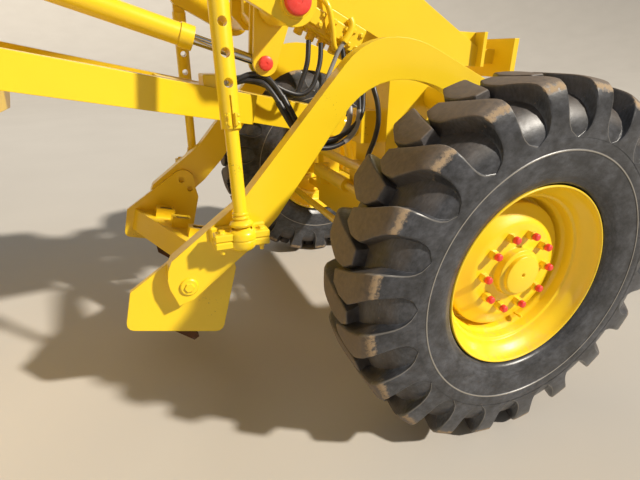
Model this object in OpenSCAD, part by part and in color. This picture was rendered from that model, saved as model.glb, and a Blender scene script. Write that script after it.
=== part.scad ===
// Motor grader, rigid frame, six wheels, with a scarifier behind the front axle.
// X points forward, Y to the machine's left, Z up. The origin is on the ground
// under the middle of the machine. Sizes that belong to the front end are written
// in the axle frame, whose origin is on the ground under the front axle.

/* [Stance] */
// Front axle to the middle of the tandem
wheelbase = 5800; // [5700:10:6000]
// Middle of the front wheel of a tandem to the middle of its rear wheel
tandem_pitch = 1520; // [1480:10:1560]
// Middle plane of a wheel to the middle of the machine
wheel_y = 970; // [960:5:1000]
// Front axle to the front face of the push plate
front_reach = 610; // [580:5:640]
// Front axle to the rear face of the bumper
rear_reach = 7550; // [7500:10:7700]

/* [Wheels] */
// Outer diameter of a tyre over its lugs
tyre_d = 1370; // [1340:5:1390]
// Width of a tyre's body at its widest
tyre_w = 375; // [360:5:390]
// Diameter of the rim's bead seat
bead_d = 610; // [600:5:620]
// Outer diameter of the rim's flange
flange_d = 690; // [680:5:700]
// Width over the rim's flanges
rim_w = 290; // [280:5:300]
// Bolt circle of the wheel nuts
nut_pcd = 290; // [280:5:300]
// Number of wheel nuts
nut_n = 10; // [8:1:12]
// Lugs in each of a tyre's two rows
lug_n = 20; // [18:1:22]

/* [Front axle] */
// Kingpin to the wheel's middle plane
king_offset = 60; // [55:1:65]
// Height of the ears that hold the kingpin
ear_t = 50; // [40:1:55]
// Depth of the axle beam
beam_h = 190; // [170:5:210]
// Thickness of the axle beam front to back
beam_t = 180; // [160:5:200]

/* [Main frame] */
// Half the width of the gooseneck
neck_hw = 160; // [150:5:170]
// Underside of the gooseneck's level stretch
neck_low = 1960; // [1940:5:1990]
// Depth of the gooseneck's level stretch
neck_h = 290; // [270:5:310]
// Half the width of the rear frame over its rails
rail_hw = 410; // [400:5:420]
// Width of one rail
rail_w = 80; // [60:5:100]
// Top of the rails above the ground
rail_top = 1380; // [1370:5:1390]
// Depth of the rails
rail_h = 250; // [220:5:280]

/* [Scarifier] */
// Thickness of the curved side arms
arm_t = 58; // [50:1:60]
// Outer face of a side arm to the machine's middle
arm_y = 575; // [570:1:580]
// Thickness of the end plates
end_t = 20; // [16:1:24]
// Angle by which the tool stands raised
tool_tilt = 14.4; // [13:0.1:15]
// Number of tooth places along the bar
tooth_n = 7; // [5:2:9]

/* [Drawbar and circle] */
// Angle by which the drawbar stands raised
draw_tilt = 11.5; // [11:0.1:12]
// Depth of the drawbar's legs
leg_h = 122; // [110:2:130]
// Outer radius of the circle
circle_r = 650; // [630:5:660]
// Width of the circle's ring
ring_w = 130; // [110:5:140]
// Depth of the circle's ring
ring_h = 90; // [80:5:100]
// Ball of the drawbar to the middle of the circle
circle_x = 2235; // [2220:5:2250]

/* [Moldboard] */
// Length of the moldboard
board_l = 3100; // [3000:10:3200]
// Height of the curved plate
board_h = 600; // [560:10:620]
// Radius of the curved plate's front
board_r = 560; // [540:10:600]
// Thickness of the curved plate
board_t = 22; // [18:1:25]

/* [Cab] */
// Half the width of the cab
cab_hw = 740; // [720:5:760]
// Front of the cab behind the front axle
cab_front = 3580; // [3570:5:3600]
// Length of the cab
cab_l = 1350; // [1320:5:1380]
// Top of the roof above the ground
roof_z = 3180; // [3150:5:3250]
// Thickness of the walls and doors
wall = 40; // [35:1:45]

/* [Hidden] */

// Colours of the real machine
yellow = "#f5b800";
black = "#26262a";
chrome = "#c9ccd0";
steel = "#6b5a4a";
red = "#d8402f";
glass = "#b9d4dc";

// Smoothness of large and small round things
$fn = 48;
fine = 24;

// Gap between sliding faces, and gap at a pin's side
slide = 0.5;
side_gap = 5;
// Gap at a face that only rests
rest_gap = 0.3;

tyre_r = tyre_d / 2;
front_x = (rear_reach - max(front_reach, tyre_r)) / 2;
king_y = wheel_y - king_offset;
hub_z = tyre_r;

// Places in the axle frame
ball = [-160, 1075];
arm_pivot = [200, 1225];
tool_pin = [-1125, 605];
link_ball = [-919, 802];
shaft = [-658, 1582];
crank_pin = [-700, 1380];
lever_end = [-930, 1675];
cyl_anchor = [-1654, 1681];
tandem_x = -wheelbase;
mid_x = -wheelbase + tandem_pitch / 2;
last_x = -wheelbase - tandem_pitch / 2;

// Helpers

// Points of an arc about c from angle a0 to a1 in n steps.
function arc(c, r, a0, a1, n = 8) =
    [for (i = [0:n]) [c[0] + r * cos(a0 + (a1 - a0) * i / n), c[1] + r * sin(a0 + (a1 - a0) * i / n)]];

// Angle and length from one place to another in the XZ plane.
function lean(a, b) = atan2(b[1] - a[1], b[0] - a[0]);
function reach(a, b) = norm([b[0] - a[0], b[1] - a[1]]);

// Moves a piece from the axle frame to the part's own frame.
module at_axle() {
    translate([front_x, 0, 0]) children();
}

// A flat outline in X and Z, given thickness between two values of Y.
module slab(y0, y1) {
    translate([0, y1, 0]) rotate([90, 0, 0]) linear_extrude(y1 - y0) children();
}

// A round bar along Y through a place in X and Z.
module bar_y(p, r, y0, y1) {
    translate([p[0], y0, p[1]]) rotate([-90, 0, 0]) cylinder(r = r, h = y1 - y0);
}

// A box given by its lowest and highest corners.
module box(a, b) {
    translate(a) cube([b[0] - a[0], b[1] - a[1], b[2] - a[2]]);
}

module both_sides() {
    children();
    mirror([0, 1, 0]) children();
}

// A piece that is made for the left side, shown on one side.
module on_side(left) {
    if (left) children();
    else mirror([0, 1, 0]) children();
}

// Anything made along +X from the origin is laid from a towards b at one Y.
module along(a, b, y) {
    translate([a[0], y, a[1]]) rotate([0, -lean(a, b), 0]) children();
}

// Wheels

spindle_r = 45;
hub_in = 25;
hub_out = 100;
disc_w = 60;
nut_r = 15;
nut_l = 36;
cap_r = 75;
bead_half = rim_w / 2 - 12;

// Half the angle that a lug takes at its top and at its foot, where rows take turns
lug_top = 3.4;
lug_foot = 90 / lug_n;
// Angle from a lug's middle to the middle of the gap behind it, and its round factor
half_pitch = 180 / lug_n;
flat = cos(half_pitch);
floor_r = tyre_r - 48;
// Corners of one pitch on one side: across, outwards, degrees past the lug's middle
corners = [
    [6, tyre_r, -lug_top], [6, tyre_r, lug_top],
    [tyre_w / 2 - 38, tyre_r - 2, 5 - lug_top], [tyre_w / 2 - 38, tyre_r - 2, 5 + lug_top],
    [tyre_w / 2 - 38, tyre_r - 74, 5 - lug_foot], [tyre_w / 2 - 38, tyre_r - 74, 5 + lug_foot],
    [tyre_w / 2, tyre_r - 185, 7 + half_pitch],
    [bead_half + 2.7, (flange_d / 2 + 4) / flat, 7 + half_pitch],
    [bead_half + 2.7, bead_d / 2 / flat, 7 + half_pitch],
    [bead_half - 30, bead_d / 2 / flat, 7 + half_pitch],
    [tyre_w / 2 - 48, tyre_r - 95, 7 + half_pitch]
];

// Place at an angle from the top towards the front, outwards and across.
function spot(a, r, w) = [r * sin(a), r * cos(a), w];

// Points: the ring between the rows, then each side's corners, pitch by pitch.
tyre_points = concat(
    [for (k = [0:2 * lug_n - 1]) spot(4 + (2 * k - 1) * lug_foot, floor_r, 0)],
    [for (s = [0, 1], i = [0:lug_n - 1], c = corners)
        spot(4 + (2 * i + s) * half_pitch + c[2], c[1], (1 - 2 * s) * c[0])]
);
function mid_at(k) = k % (2 * lug_n);
function at(s, i, c) = 2 * lug_n + (s * lug_n + (i + lug_n) % lug_n) * len(corners) + c;
function tri(s, a, b, c) = s == 0 ? [a, b, c] : [a, c, b];
function quad(s, a, b, c, d) = [tri(s, a, b, c), tri(s, a, c, d)];

// Faces of one pitch: lug, its two walls, the gap behind it, then down to the bead and inside.
function pitch_faces(s, i) = concat(
    quad(s, mid_at(2 * i + s), mid_at(2 * i + s + 1), at(s, i, 1), at(s, i, 0)),
    quad(s, at(s, i, 0), at(s, i, 1), at(s, i, 3), at(s, i, 2)),
    quad(s, at(s, i, 2), at(s, i, 3), at(s, i, 6), at(s, i - 1, 6)),
    quad(s, mid_at(2 * i + s + 1), at(s, i, 5), at(s, i, 3), at(s, i, 1)),
    [tri(s, at(s, i, 5), at(s, i, 6), at(s, i, 3))],
    quad(s, mid_at(2 * i + s), at(s, i, 0), at(s, i, 2), at(s, i, 4)),
    [tri(s, at(s, i, 4), at(s, i, 2), at(s, i - 1, 6))],
    quad(s, mid_at(2 * i + s + 1), mid_at(2 * i + s + 2), at(s, i + 1, 4), at(s, i, 5)),
    [tri(s, at(s, i, 5), at(s, i + 1, 4), at(s, i, 6))],
    [for (c = [6:9], t = quad(s, at(s, i - 1, c), at(s, i, c), at(s, i, c + 1), at(s, i - 1, c + 1))) t]
);
tyre_faces = concat(
    [for (s = [0, 1], i = [0:lug_n - 1], t = pitch_faces(s, i)) t],
    [for (i = [0:lug_n - 1], t = [
        [at(0, i, 10), at(0, i + 1, 10), at(1, i, 10)],
        [at(1, i, 10), at(0, i + 1, 10), at(1, i + 1, 10)]
    ]) t]
);

// Stands a wheel's section up about the Y axis at one place.
module wheel_at(x, left) {
    at_axle() translate([x, (left ? 1 : -1) * wheel_y, hub_z])
        rotate([left ? -90 : 90, 0, 0]) children();
}

// Tyre with two rows of slanted lugs, which point the same way on both sides.
module tyre(left) {
    color(black) mirror([0, left ? 1 : 0, 0])
        polyhedron(points = tyre_points, faces = tyre_faces, convexity = 6);
}

// Half section of the rim's barrel, with its flange turned up at both ends.
rim_t = 12;
rim_section = [
    [bead_d / 2 - 2 * rim_t, 0], [bead_d / 2 - rim_t, 0], [bead_d / 2 - rim_t, 60],
    [bead_d / 2 - rest_gap, bead_half - 46], [bead_d / 2 - rest_gap, bead_half + 3],
    [flange_d / 2, bead_half + 3], [flange_d / 2, rim_w / 2], [bead_d / 2 - 2 * rim_t, rim_w / 2],
    [bead_d / 2 - 2 * rim_t, 80]
];

// Rim, dished disc, hub, nuts and cap, with the outside of the wheel along +Z.
module rim() {
    color(yellow) {
        rotate_extrude($fn = 96)
            for (s = [0, 1]) mirror([0, s]) polygon(rim_section);
        difference() {
            union() {
                translate([0, 0, disc_w - 22]) cylinder(r = nut_pcd / 2 + 38, h = 22);
                rotate_extrude($fn = 96) polygon([
                    [nut_pcd / 2 + 34, disc_w - 22], [nut_pcd / 2 + 38, disc_w],
                    [bead_d / 2 - 2 * rim_t + 1, 8], [bead_d / 2 - 2 * rim_t + 1, -14]
                ]);
                translate([0, 0, hub_in]) cylinder(r = 92, h = hub_out - hub_in - 8);
                translate([0, 0, hub_out - 30]) cylinder(r = cap_r, h = 40);
                for (i = [0:nut_n - 1]) rotate(i * 360 / nut_n)
                    translate([nut_pcd / 2, 0, disc_w - 1]) cylinder(r = nut_r, h = nut_l, $fn = fine);
            }
            translate([0, 0, hub_in - 20]) cylinder(r = spindle_r + slide, h = 80);
        }
    }
}

// Front axle

carrier_y = 640;
carrier_end = 730;

// Beam, centre box and the ears that hold the kingpins.
module front_axle() {
    color(yellow) at_axle() {
        box([-beam_t / 2, -carrier_y, 470], [beam_t / 2, carrier_y, 470 + beam_h]);
        box([-110, -130, 470 + beam_h - 1], [110, 130, 862]);
        both_sides() difference() {
            union() {
                box([-60, carrier_y - 1, hub_z - 170], [60, carrier_end, hub_z + 170]);
                for (s = [-1, 1]) {
                    translate([0, king_y, hub_z + s * (170 - ear_t / 2) - ear_t / 2])
                        cylinder(r = 55, h = ear_t);
                    translate([-50, carrier_end - 1, hub_z + s * (170 - ear_t / 2) - ear_t / 2])
                        cube([100, king_y - carrier_end + 1, ear_t]);
                }
            }
            translate([0, king_y, hub_z - 200]) cylinder(r = 30 + slide, h = 400);
        }
    }
}

// The bar and cylinder that lean the wheels, between the kingpin carriers.
lean_bar = [-150, 860];
lean_cyl = [-160, 735];
module lean_linkage() {
    color(yellow) at_axle() {
        difference() {
            union() {
                bar_y(lean_bar, 25, -600, 600);
                both_sides() {
                    bar_y(lean_bar, 36, 560, 620);
                    box([lean_bar[0] - 20, 575, 830], [-60, 605, 880]);
                    box([-61, 575, 830], [-20, carrier_y - 1, 850]);
                }
            }
            both_sides() bar_y(lean_bar, 12, 540, 640);
        }
        bar_y(lean_cyl, 38, 60, 470);
        bar_y(lean_cyl, 20, -120, 61);
        box([lean_cyl[0] - 25, 460, 700], [-beam_t / 2, 500, 770]);
        box([-beam_t / 2 - 70, 440, 640], [-beam_t / 2, 520, 701]);
        box([lean_cyl[0] - 25, -150, 700], [-110, -115, 770]);
    }
}

steer_cyl = [150, 620];
steer_gland = 520;

module steer_barrel() {
    color(yellow) at_axle() difference() {
        union() {
            bar_y(steer_cyl, 38, 60, steer_gland);
            box([beam_t / 2, 60, 580], [steer_cyl[0], 120, 658]);
        }
        bar_y(steer_cyl, 18 + slide, 100, steer_gland + 1);
    }
}

module steer_rod() {
    color(chrome) at_axle() difference() {
        union() {
            bar_y(steer_cyl, 18, 330, king_y - 28);
            translate([steer_cyl[0], king_y, steer_cyl[1] - 20]) cylinder(r = 30, h = 40);
        }
        translate([steer_cyl[0], king_y, steer_cyl[1]]) cylinder(r = 12, h = 21);
    }
}

// Steered part of one front wheel's support, made for the left side.
tie_ball = [-240, 780];
tie_pin_r = 12;
module knuckle(left) {
    color(yellow) at_axle() on_side(left) difference() {
        knuckle_body(left);
        if (left) translate([tie_ball[0], tie_ball[1], 560]) cylinder(r = tie_pin_r + slide, h = 60);
    }
}

module knuckle_body(left) {
    union() {
        translate([0, king_y, hub_z - 168]) cylinder(r = 30, h = 336);
        translate([0, king_y, hub_z - 115]) cylinder(r = 52, h = 230);
        box([-58, king_y + 10, hub_z - 58], [58, wheel_y + 12, hub_z + 58]);
        bar_y([0, hub_z], spindle_r, wheel_y + 11, wheel_y + hub_in + 50);
        // steering arm to the tie rod, low and to the rear
        translate([0, king_y, 575]) rotate(atan2(tie_ball[1] - king_y, tie_ball[0]))
            translate([0, -22, 0]) cube([norm([tie_ball[0], tie_ball[1] - king_y]), 44, 30]);
        translate([tie_ball[0], tie_ball[1], 574]) rotate(20) cylinder(r = 34, h = 34);
        if (left) {
            box([0, king_y - 24, 570], [steer_cyl[0], king_y + 24, steer_cyl[1] - 20 - side_gap]);
            translate([steer_cyl[0], king_y, 570]) cylinder(r = 30, h = 30 - side_gap);
        }
    }
}

module tie_rod() {
    color(yellow) at_axle() {
        bar_y([tie_ball[0], 545], 20, -tie_ball[1], tie_ball[1]);
        both_sides() translate([tie_ball[0], tie_ball[1], 575 - 56]) cylinder(r = 30, h = 55 - side_gap);
        translate([tie_ball[0], tie_ball[1], 540]) cylinder(r = tie_pin_r, h = 84);
        translate([tie_ball[0], tie_ball[1], 613]) cylinder(r = 20, h = 11);
    }
}

// Main frame

// Side outline of the gooseneck in the axle frame, from its nose backwards.
neck_top = neck_low + neck_h;
neck_end = -cab_front + 20;
neck_outline = [
    [457, 1366], [457, 1450], [94, 1652], [-560, 2018], [-800, 2140], [-1050, neck_top - 30],
    [-1300, neck_top], [neck_end + 400, neck_top], [neck_end, rail_top + 40],
    [neck_end, rail_top - rail_h], [neck_end + 70, rail_top - rail_h], [neck_end + 450, neck_low],
    [-1400, neck_low], [-1150, neck_low - 30],
    [-900, 1849], [-431, 1627], [-137, 1488], [100, 1376]
];
bolster_x = [-60, 250];

module front_frame() {
    color(yellow) at_axle() difference() {
        union() {
            slab(-neck_hw, neck_hw) polygon(neck_outline);
            // end plate with its gussets, and the push plate held in front of it
            box([440, -200, 1366], [460, 200, 1527]);
            both_sides() slab(120, 135) polygon([[300, 1530], [441, 1452], [441, 1527]]);
            box([580, -260, 1315], [front_reach, 260, 1500]);
            both_sides() box([455, 90, 1380], [585, 130, 1450]);
            // bolster down to the axle's centre box
            box([bolster_x[0], -neck_hw, 862], [bolster_x[1], neck_hw, 1440]);
            // cup for the drawbar's ball
            box([ball[0], -80, ball[1] - 80], [bolster_x[0] + 1, 80, ball[1] + 80]);
            // cross tube that carries the scarifier's arms
            bar_y(arm_pivot, 60, -arm_y + arm_t + side_gap, arm_y - arm_t - side_gap);
            bar_y(arm_pivot, 40, -arm_y - 14, arm_y + 14);
            // hangers that hold the scarifier's cross shaft
            both_sides() slab(90, 130) translate(shaft) polygon([
                [-90, 218], [70, 158], [80, -12], [40, -67], [-40, -67], [-90, -12]
            ]);
            // plate for the rear end of the scarifier's cylinder
            slab(-neck_hw - 16, -neck_hw + 1) polygon([
                [-1560, 2120], [-1500, 1980], [-1610, 1645], [-1654, 1630], [-1700, 1645],
                [-1760, 1980], [-1740, 2120]
            ]);
            bar_y(cyl_anchor, 17, -238, -neck_hw);
        }
        translate([ball[0], 0, ball[1]]) sphere(r = 56, $fn = 48);
        bar_y(shaft, 55 + slide, -140, 140);
    }
}

saddle_x = -2285;
trunnion_z = 2050;
lift_y = 660;
trunnion_y = lift_y - 62;

module saddle() {
    color(yellow) at_axle() translate([saddle_x, 0, 0]) difference() {
        union() {
            box([-110, -neck_hw - 60, neck_low - 50], [110, neck_hw + 60, neck_top + 50]);
            box([-45, -trunnion_y, trunnion_z - 60], [45, trunnion_y, trunnion_z + 60]);
            both_sides() bar_y([0, trunnion_z], 60, trunnion_y - 70, trunnion_y - 2);
            // ears for the centre shift cylinder
            for (s = [-1, 1]) translate([centre_x - saddle_x + s * 58, 0, 0])
                box([-14, 310, 1915], [14, 410, trunnion_z - 46]);
            box([centre_x - saddle_x - 72, 310, trunnion_z - 47], [-40, 410, trunnion_z + 10]);
        }
        box([-300, -neck_hw, neck_low], [200, neck_hw, neck_top]);
        both_sides() bar_y([0, trunnion_z], 25 + slide, trunnion_y - 90, trunnion_y + 10);
        translate([-300, centre_top[0], centre_top[1]]) rotate([0, 90, 0]) cylinder(r = 15, h = 250);
    }
}

module rear_frame() {
    color(yellow) at_axle() {
        both_sides() {
            box([-rear_reach + 150, rail_hw - rail_w, rail_top - rail_h], [neck_end, rail_hw, rail_top]);
            // shelf under the hood, and pads under the cab
            box([hood_x[0], rail_hw - 1, rail_top - 20], [hood_x[1], hood_hw, rail_top]);
            for (x = [cab_x[1] - 120, cab_x[0] + 100])
                box([x - 60, rail_hw - rail_w, rail_top - 1], [x + 60, rail_hw + 60, floor_z]);
        }
        box([neck_end - 140, -rail_hw + 1, rail_top - rail_h], [neck_end, rail_hw - 1, rail_top]);
        box([hood_x[1] - 100, -rail_hw + 1, rail_top - 200], [hood_x[1] + 20, rail_hw - 1, rail_top - 60]);
        box([-rear_reach + 70, -rail_hw, rail_top - rail_h], [-rear_reach + 151, rail_hw, rail_top]);
        box([-rear_reach, -700, 1000], [-rear_reach + 71, 700, 1350]);
    }
}

module rear_axle() {
    color(yellow) at_axle() {
        bar_y([tandem_x, 760], 120, -556, 556);
        bar_y([tandem_x, 760], 220, -190, 190);
        both_sides() box([tandem_x - 150, rail_hw - rail_w, 800], [tandem_x + 150, rail_hw, rail_top - rail_h]);
    }
}

case_y = [556, 756];
module tandem(left) {
    color(yellow) at_axle() on_side(left) {
        slab(case_y[0], case_y[1]) union() {
            for (x = [mid_x, last_x]) translate([x, hub_z]) circle(r = 215);
            translate([last_x, hub_z - 215]) square([tandem_pitch, 430]);
        }
        for (x = [mid_x, last_x]) {
            bar_y([x, hub_z], 90, case_y[1] - 1, wheel_y + 12);
            bar_y([x, hub_z], spindle_r, wheel_y + 11, wheel_y + hub_in + 50);
        }
    }
}

// Scarifier, drawn raised as it stands

// Outline of a side arm in X and Z, from its lower tip over the arch to its pivot.
arch_o = [-290, 1205];
arch_r = 274;
arch_i = [-255, 1031];
slope = 24.5;
arm_outline = concat(
    [[-1162, 531]], arc([-1040, 640], 152, 208, 149, 4), [[-893, 925]],
    arc(arch_o, arch_r, 139, 90, 6),
    arc([arch_o[0], arch_o[1] + arch_r - 445], 445, 90, 90 - slope, 4),
    arc(arm_pivot, 75, 90 - slope, -90 - slope, 8),
    arc([arch_i[0], arch_i[1] - 200], 500, 90 - slope, 90, 4), arc(arch_i, 300, 90, 144.4, 6),
    [[-765, 840], [-880, 722], [-1105, 549]]
);

// Outline of an end plate in the tool's own level frame, about its pin.
end_outline = concat(
    arc([-160, -195], 30, 180, 270, 3), arc([156, -195], 30, 270, 360, 3),
    [[186, 70], [160, 125]], arc([85, 150], 66, 10, 130, 4), [[-192, -63]]
);

// Bolt holes in the end plates, in the axle frame.
plate_holes = [[-1012, 736], [-970, 679]];

module in_tool() {
    translate([tool_pin[0], 0, tool_pin[1]]) rotate([0, tool_tilt, 0]) children();
}

// The bar runs in a V from plate to plate, its point forwards.
bar_z = [-175, -50];
bar_rear = -152;
bar_apex = 100;
bar_deep = 190;
plate_y = arm_y - arm_t;
bar_half = plate_y - end_t;

// Place along the bar's rear edge at one Y.
function bar_x(y) = bar_apex - (bar_apex - bar_rear) * abs(y) / bar_half;

tooth_pitch = 2 * (bar_half - 75) / (tooth_n - 1);
shank = [32, 62];
shank_top = bar_z[1] + 46;
function tooth_y(i) = -(bar_half - 75) + i * tooth_pitch;

module bar_plan(inset) {
    polygon([
        [bar_rear + inset, -bar_half], [bar_apex + inset, 0], [bar_rear + inset, bar_half],
        [bar_rear + bar_deep - inset, bar_half], [bar_apex + bar_deep - inset, 0],
        [bar_rear + bar_deep - inset, -bar_half]
    ]);
}

module scarifier_frame() {
    color(yellow) at_axle() {
        both_sides() difference() {
            slab(plate_y, arm_y) polygon(arm_outline);
            bar_y(arm_pivot, 40 + slide, plate_y - 1, arm_y + 1);
        }
        both_sides() difference() {
            in_tool() slab(bar_half, plate_y + 1) polygon(end_outline);
            for (p = plate_holes) bar_y(p, 16, bar_half - 1, plate_y - 2);
        }
        in_tool() {
            difference() {
                translate([0, 0, bar_z[0]]) linear_extrude(bar_z[1] - bar_z[0]) bar_plan(0);
                translate([0, 0, bar_z[0] - 1]) linear_extrude(bar_z[1] - bar_z[0] - 17) bar_plan(22);
                for (i = [0:tooth_n - 1]) translate([bar_x(tooth_y(i)) + 120, tooth_y(i), bar_z[0] - 1])
                    box([-shank[1] / 2 - 1, -shank[0] / 2 - 1, 0], [shank[1] / 2 + 1, shank[0] / 2 + 1, 200]);
            }
            // holder blocks on the bar behind each shank
            for (i = [0:tooth_n - 1]) translate([bar_x(tooth_y(i)) + 120, tooth_y(i), bar_z[1] - 1])
                difference() {
                    box([-shank[1] / 2 - 22, -36, 0], [shank[1] / 2 + 14, 36, 52]);
                    box([-shank[1] / 2 - 1, -shank[0] / 2 - 1, -1], [shank[1] / 2 + 1, shank[0] / 2 + 1, 60]);
                }
        }
        // brackets for the links' lower balls
        both_sides() difference() {
            box([link_ball[0] - 105, arm_y - 1, link_ball[1] - 28],
                [link_ball[0] + 95, 640 + 48, link_ball[1] + 28]);
            bar_ball(45 + slide);
        }
    }
}

module bar_ball(r) {
    translate([link_ball[0], 640, link_ball[1]]) sphere(r = r, $fn = 32);
}

// Shanks with their points, one at each place along the bar.
module scarifier_teeth() {
    color(steel) at_axle() in_tool()
        for (i = [0:tooth_n - 1]) translate([bar_x(tooth_y(i)) + 120, tooth_y(i), 0])
            slab(-shank[0] / 2, shank[0] / 2) polygon([
                [-shank[1] / 2, shank_top], [shank[1] / 2, shank_top], [shank[1] / 2, -215], [105, -300],
                [88, -318], [-10, -270], [-shank[1] / 2, -215]
            ]);
}

lever_y = [470, 500];
crank_y = -209;
crank_t = 20;
module scarifier_shaft() {
    color(yellow) at_axle() {
        difference() {
            union() {
                bar_y(shaft, 55, -lever_y[1] - 20, lever_y[1] + 20);
                bar_y(shaft, 68, -lever_y[0] + 20, crank_y - 60);
                both_sides() slab(lever_y[0], lever_y[1]) difference() {
                    union() {
                        translate(shaft) circle(r = 80);
                        translate(lever_end) circle(r = 42);
                        polygon([
                            [shaft[0] - 20, shaft[1] + 78], [lever_end[0] + 5, lever_end[1] + 42],
                            [lever_end[0] - 5, lever_end[1] - 42], [shaft[0] - 40, shaft[1] - 70]
                        ]);
                    }
                }
                for (y = [crank_y - 43, crank_y + 23]) slab(y, y + crank_t) union() {
                    translate(shaft) circle(r = 78);
                    translate(crank_pin) circle(r = 50);
                    polygon([
                        [shaft[0] - 78, shaft[1]], [shaft[0] + 77, shaft[1] - 12],
                        [crank_pin[0] + 50, crank_pin[1] - 4], [crank_pin[0] - 50, crank_pin[1] + 6]
                    ]);
                }
                bar_y(crank_pin, 12, crank_y - 30, crank_y + 30);
            }
        }
        color(red) {
            bar_y(shaft, 45, -lever_y[1] - 36, -lever_y[1] - 19);
            bar_y(crank_pin, 28, crank_y - 56, crank_y - 42);
        }
    }
}

link_top_y = lever_y[1] + side_gap + 18;
link_tilt = atan2(640 - link_top_y, lever_end[1] - link_ball[1]);
link_l = norm([640 - link_top_y, lever_end[1] - link_ball[1]]);
tube_r = 34;
inner_r = 24;
// Foot of the outer tube, its slot, and its lowest hole with the distance to the next
tube_foot = 382;
slot_l = 106;
hole_at = [144, 91];

// Telescoping link, made for the left side, from its ball up to its eye.
module scarifier_link(left) {
    color(yellow) at_axle() on_side(left) {
        difference() {
            union() {
                bar_ball(45);
                translate([link_ball[0], 640, link_ball[1]]) rotate([link_tilt, 0, 0])
                    rotate([0, atan2(lever_end[0] - link_ball[0], link_l), 0]) {
                    cylinder(r = inner_r, h = tube_foot + slot_l + 6);
                    translate([0, 0, tube_foot]) difference() {
                        cylinder(r = tube_r, h = link_l - tube_foot - 65);
                        for (i = [0:2]) translate([0, -60, hole_at[0] + i * hole_at[1]])
                            rotate([-90, 0, 0]) cylinder(r = 15, h = 120, $fn = fine);
                        box([-2.5, -60, -1], [2.5, 60, slot_l]);
                    }
                }
                bar_y(lever_end, 38, lever_y[1] + side_gap, lever_y[1] + 45);
                translate([lever_end[0] - 28, lever_y[1] + side_gap, lever_end[1] - 90]) cube([56, 40, 90]);
            }
        }
    }
}

// Cylinders: a barrel from its pin along +X, and a rod with its eye at the far end

// Barrel with a closed end, a gland and a bore for its rod.
module barrel(r, start, end, rod_r, depth) {
    difference() {
        union() {
            translate([start, 0, 0]) rotate([0, 90, 0]) cylinder(r = r, h = end - start - 50);
            translate([end - 51, 0, 0]) rotate([0, 90, 0]) cylinder(r = r + 5, h = 51);
        }
        translate([end - depth, 0, 0]) rotate([0, 90, 0]) cylinder(r = rod_r + slide, h = depth + 1);
    }
}

// Rod along +X from start to an eye at end, whose hole lies along Y.
module rod(r, start, end, eye_r, eye_w, hole_r) {
    difference() {
        union() {
            translate([start, 0, 0]) rotate([0, 90, 0]) cylinder(r = r, h = end - start - eye_r / 2);
            bar_y([end, 0], eye_r, -eye_w / 2, eye_w / 2);
        }
        bar_y([end, 0], hole_r, -eye_w, eye_w);
    }
}

scar_len = reach(cyl_anchor, crank_pin);
module scarifier_barrel() {
    color(yellow) at_axle() along(cyl_anchor, crank_pin, crank_y) difference() {
        union() {
            barrel(41, 95, 715, 20, 560);
            bar_y([0, 0], 42, -20, 20);
            translate([10, -20, -30]) cube([90, 40, 60]);
        }
        bar_y([0, 0], 17 + slide, -30, 30);
    }
}

module scarifier_rod() {
    color(chrome) at_axle() along(cyl_anchor, crank_pin, crank_y)
        rod(20, 320, scar_len, 38, 36, 26);
}

// Drawbar, circle and moldboard, in a frame level with the drawbar about its ball

module in_drawbar() {
    at_axle() translate([ball[0], 0, ball[1]]) rotate([0, draw_tilt, 0]) children();
}

leg_angle = 14.6;
leg_w = 90;
leg_front = [-590, 200];
lift_x = -2150;
deck_z = -leg_h / 2;
ring_top = deck_z - 14;
shoe_y = 150;

// A shoe that holds the ring's edge, on the front of the circle.
module shoe() {
    box([circle_r + slide, -shoe_y, ring_top - ring_h - 20], [circle_r + 60, shoe_y, deck_z + 22]);
    box([circle_r - 60, -shoe_y, deck_z], [circle_r + 60, shoe_y, deck_z + 22]);
    box([circle_r - 35, -shoe_y, ring_top - ring_h - 20],
        [circle_r + 4, shoe_y, ring_top - ring_h - rest_gap]);
}

module drawbar() {
    color(yellow) in_drawbar() difference() {
        union() {
            sphere(r = 55, $fn = 48);
            translate([-130, 0, 0]) rotate([0, 90, 0]) cylinder(r = 38, h = 100);
            box([-720, -100, -leg_h / 2], [-110, 100, leg_h / 2]);
            // wedge that joins the legs to the front beam
            translate([0, 0, 3 - leg_h / 2]) linear_extrude(leg_h - 6)
                polygon([[-600, 130], [-600, -130], [-980, -240], [-980, 240]]);
            // legs that spread to the lift cylinders' studs
            both_sides() intersection() {
                translate([leg_front[0], leg_front[1], -leg_h / 2]) rotate(180 - leg_angle)
                    cube([1700, leg_w, leg_h]);
                box([lift_x - 70, 0, -leg_h], [leg_front[0], 620, leg_h]);
            }
            box([lift_x - 70, -600, -leg_h / 2], [lift_x + 70, 600, leg_h / 2]);
            both_sides() bar_y([lift_x, 0], 50, 590, lift_y - 30 - side_gap);
            // plate over the circle, and its shoes
            difference() {
                translate([-circle_x, 0, deck_z]) cylinder(r = circle_r - 30, h = 22);
                translate([-circle_x, 0, deck_z - 1]) cylinder(r = circle_r - ring_w - 40, h = 30);
            }
            translate([-circle_x, 0, 0]) {
                shoe();
                rotate(180) shoe();
            }
            box([-1870, -400, deck_z], [-1690, 400, deck_z + 40]);
            // rear cross plate with the lug of the centre shift cylinder's eye
            box([-2440, -500, deck_z], [-2385, 500, deck_z + 40]);
            box([-2430, -480, deck_z + 39], [-2385, -360, 115]);
        }
    }
}

// Motor and gear case that turn the circle.
module circle_drive() {
    color(yellow) in_drawbar() translate([-1790, 0, deck_z + 40]) {
        cylinder(r = 105, h = 150);
        translate([0, 0, 149]) cylinder(r = 70, h = 90);
        translate([0, 0, 238]) cylinder(r = 45, h = 110);
        box([-150, -60, 0], [-80, 60, 110]);
    }
}

tip_pivot = [-60, -600];
blade_arm_y = [545, 605];
tip_anchor = [-560, -290];
tip_eye = [-66, -450];
pivot_r = 30;

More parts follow.
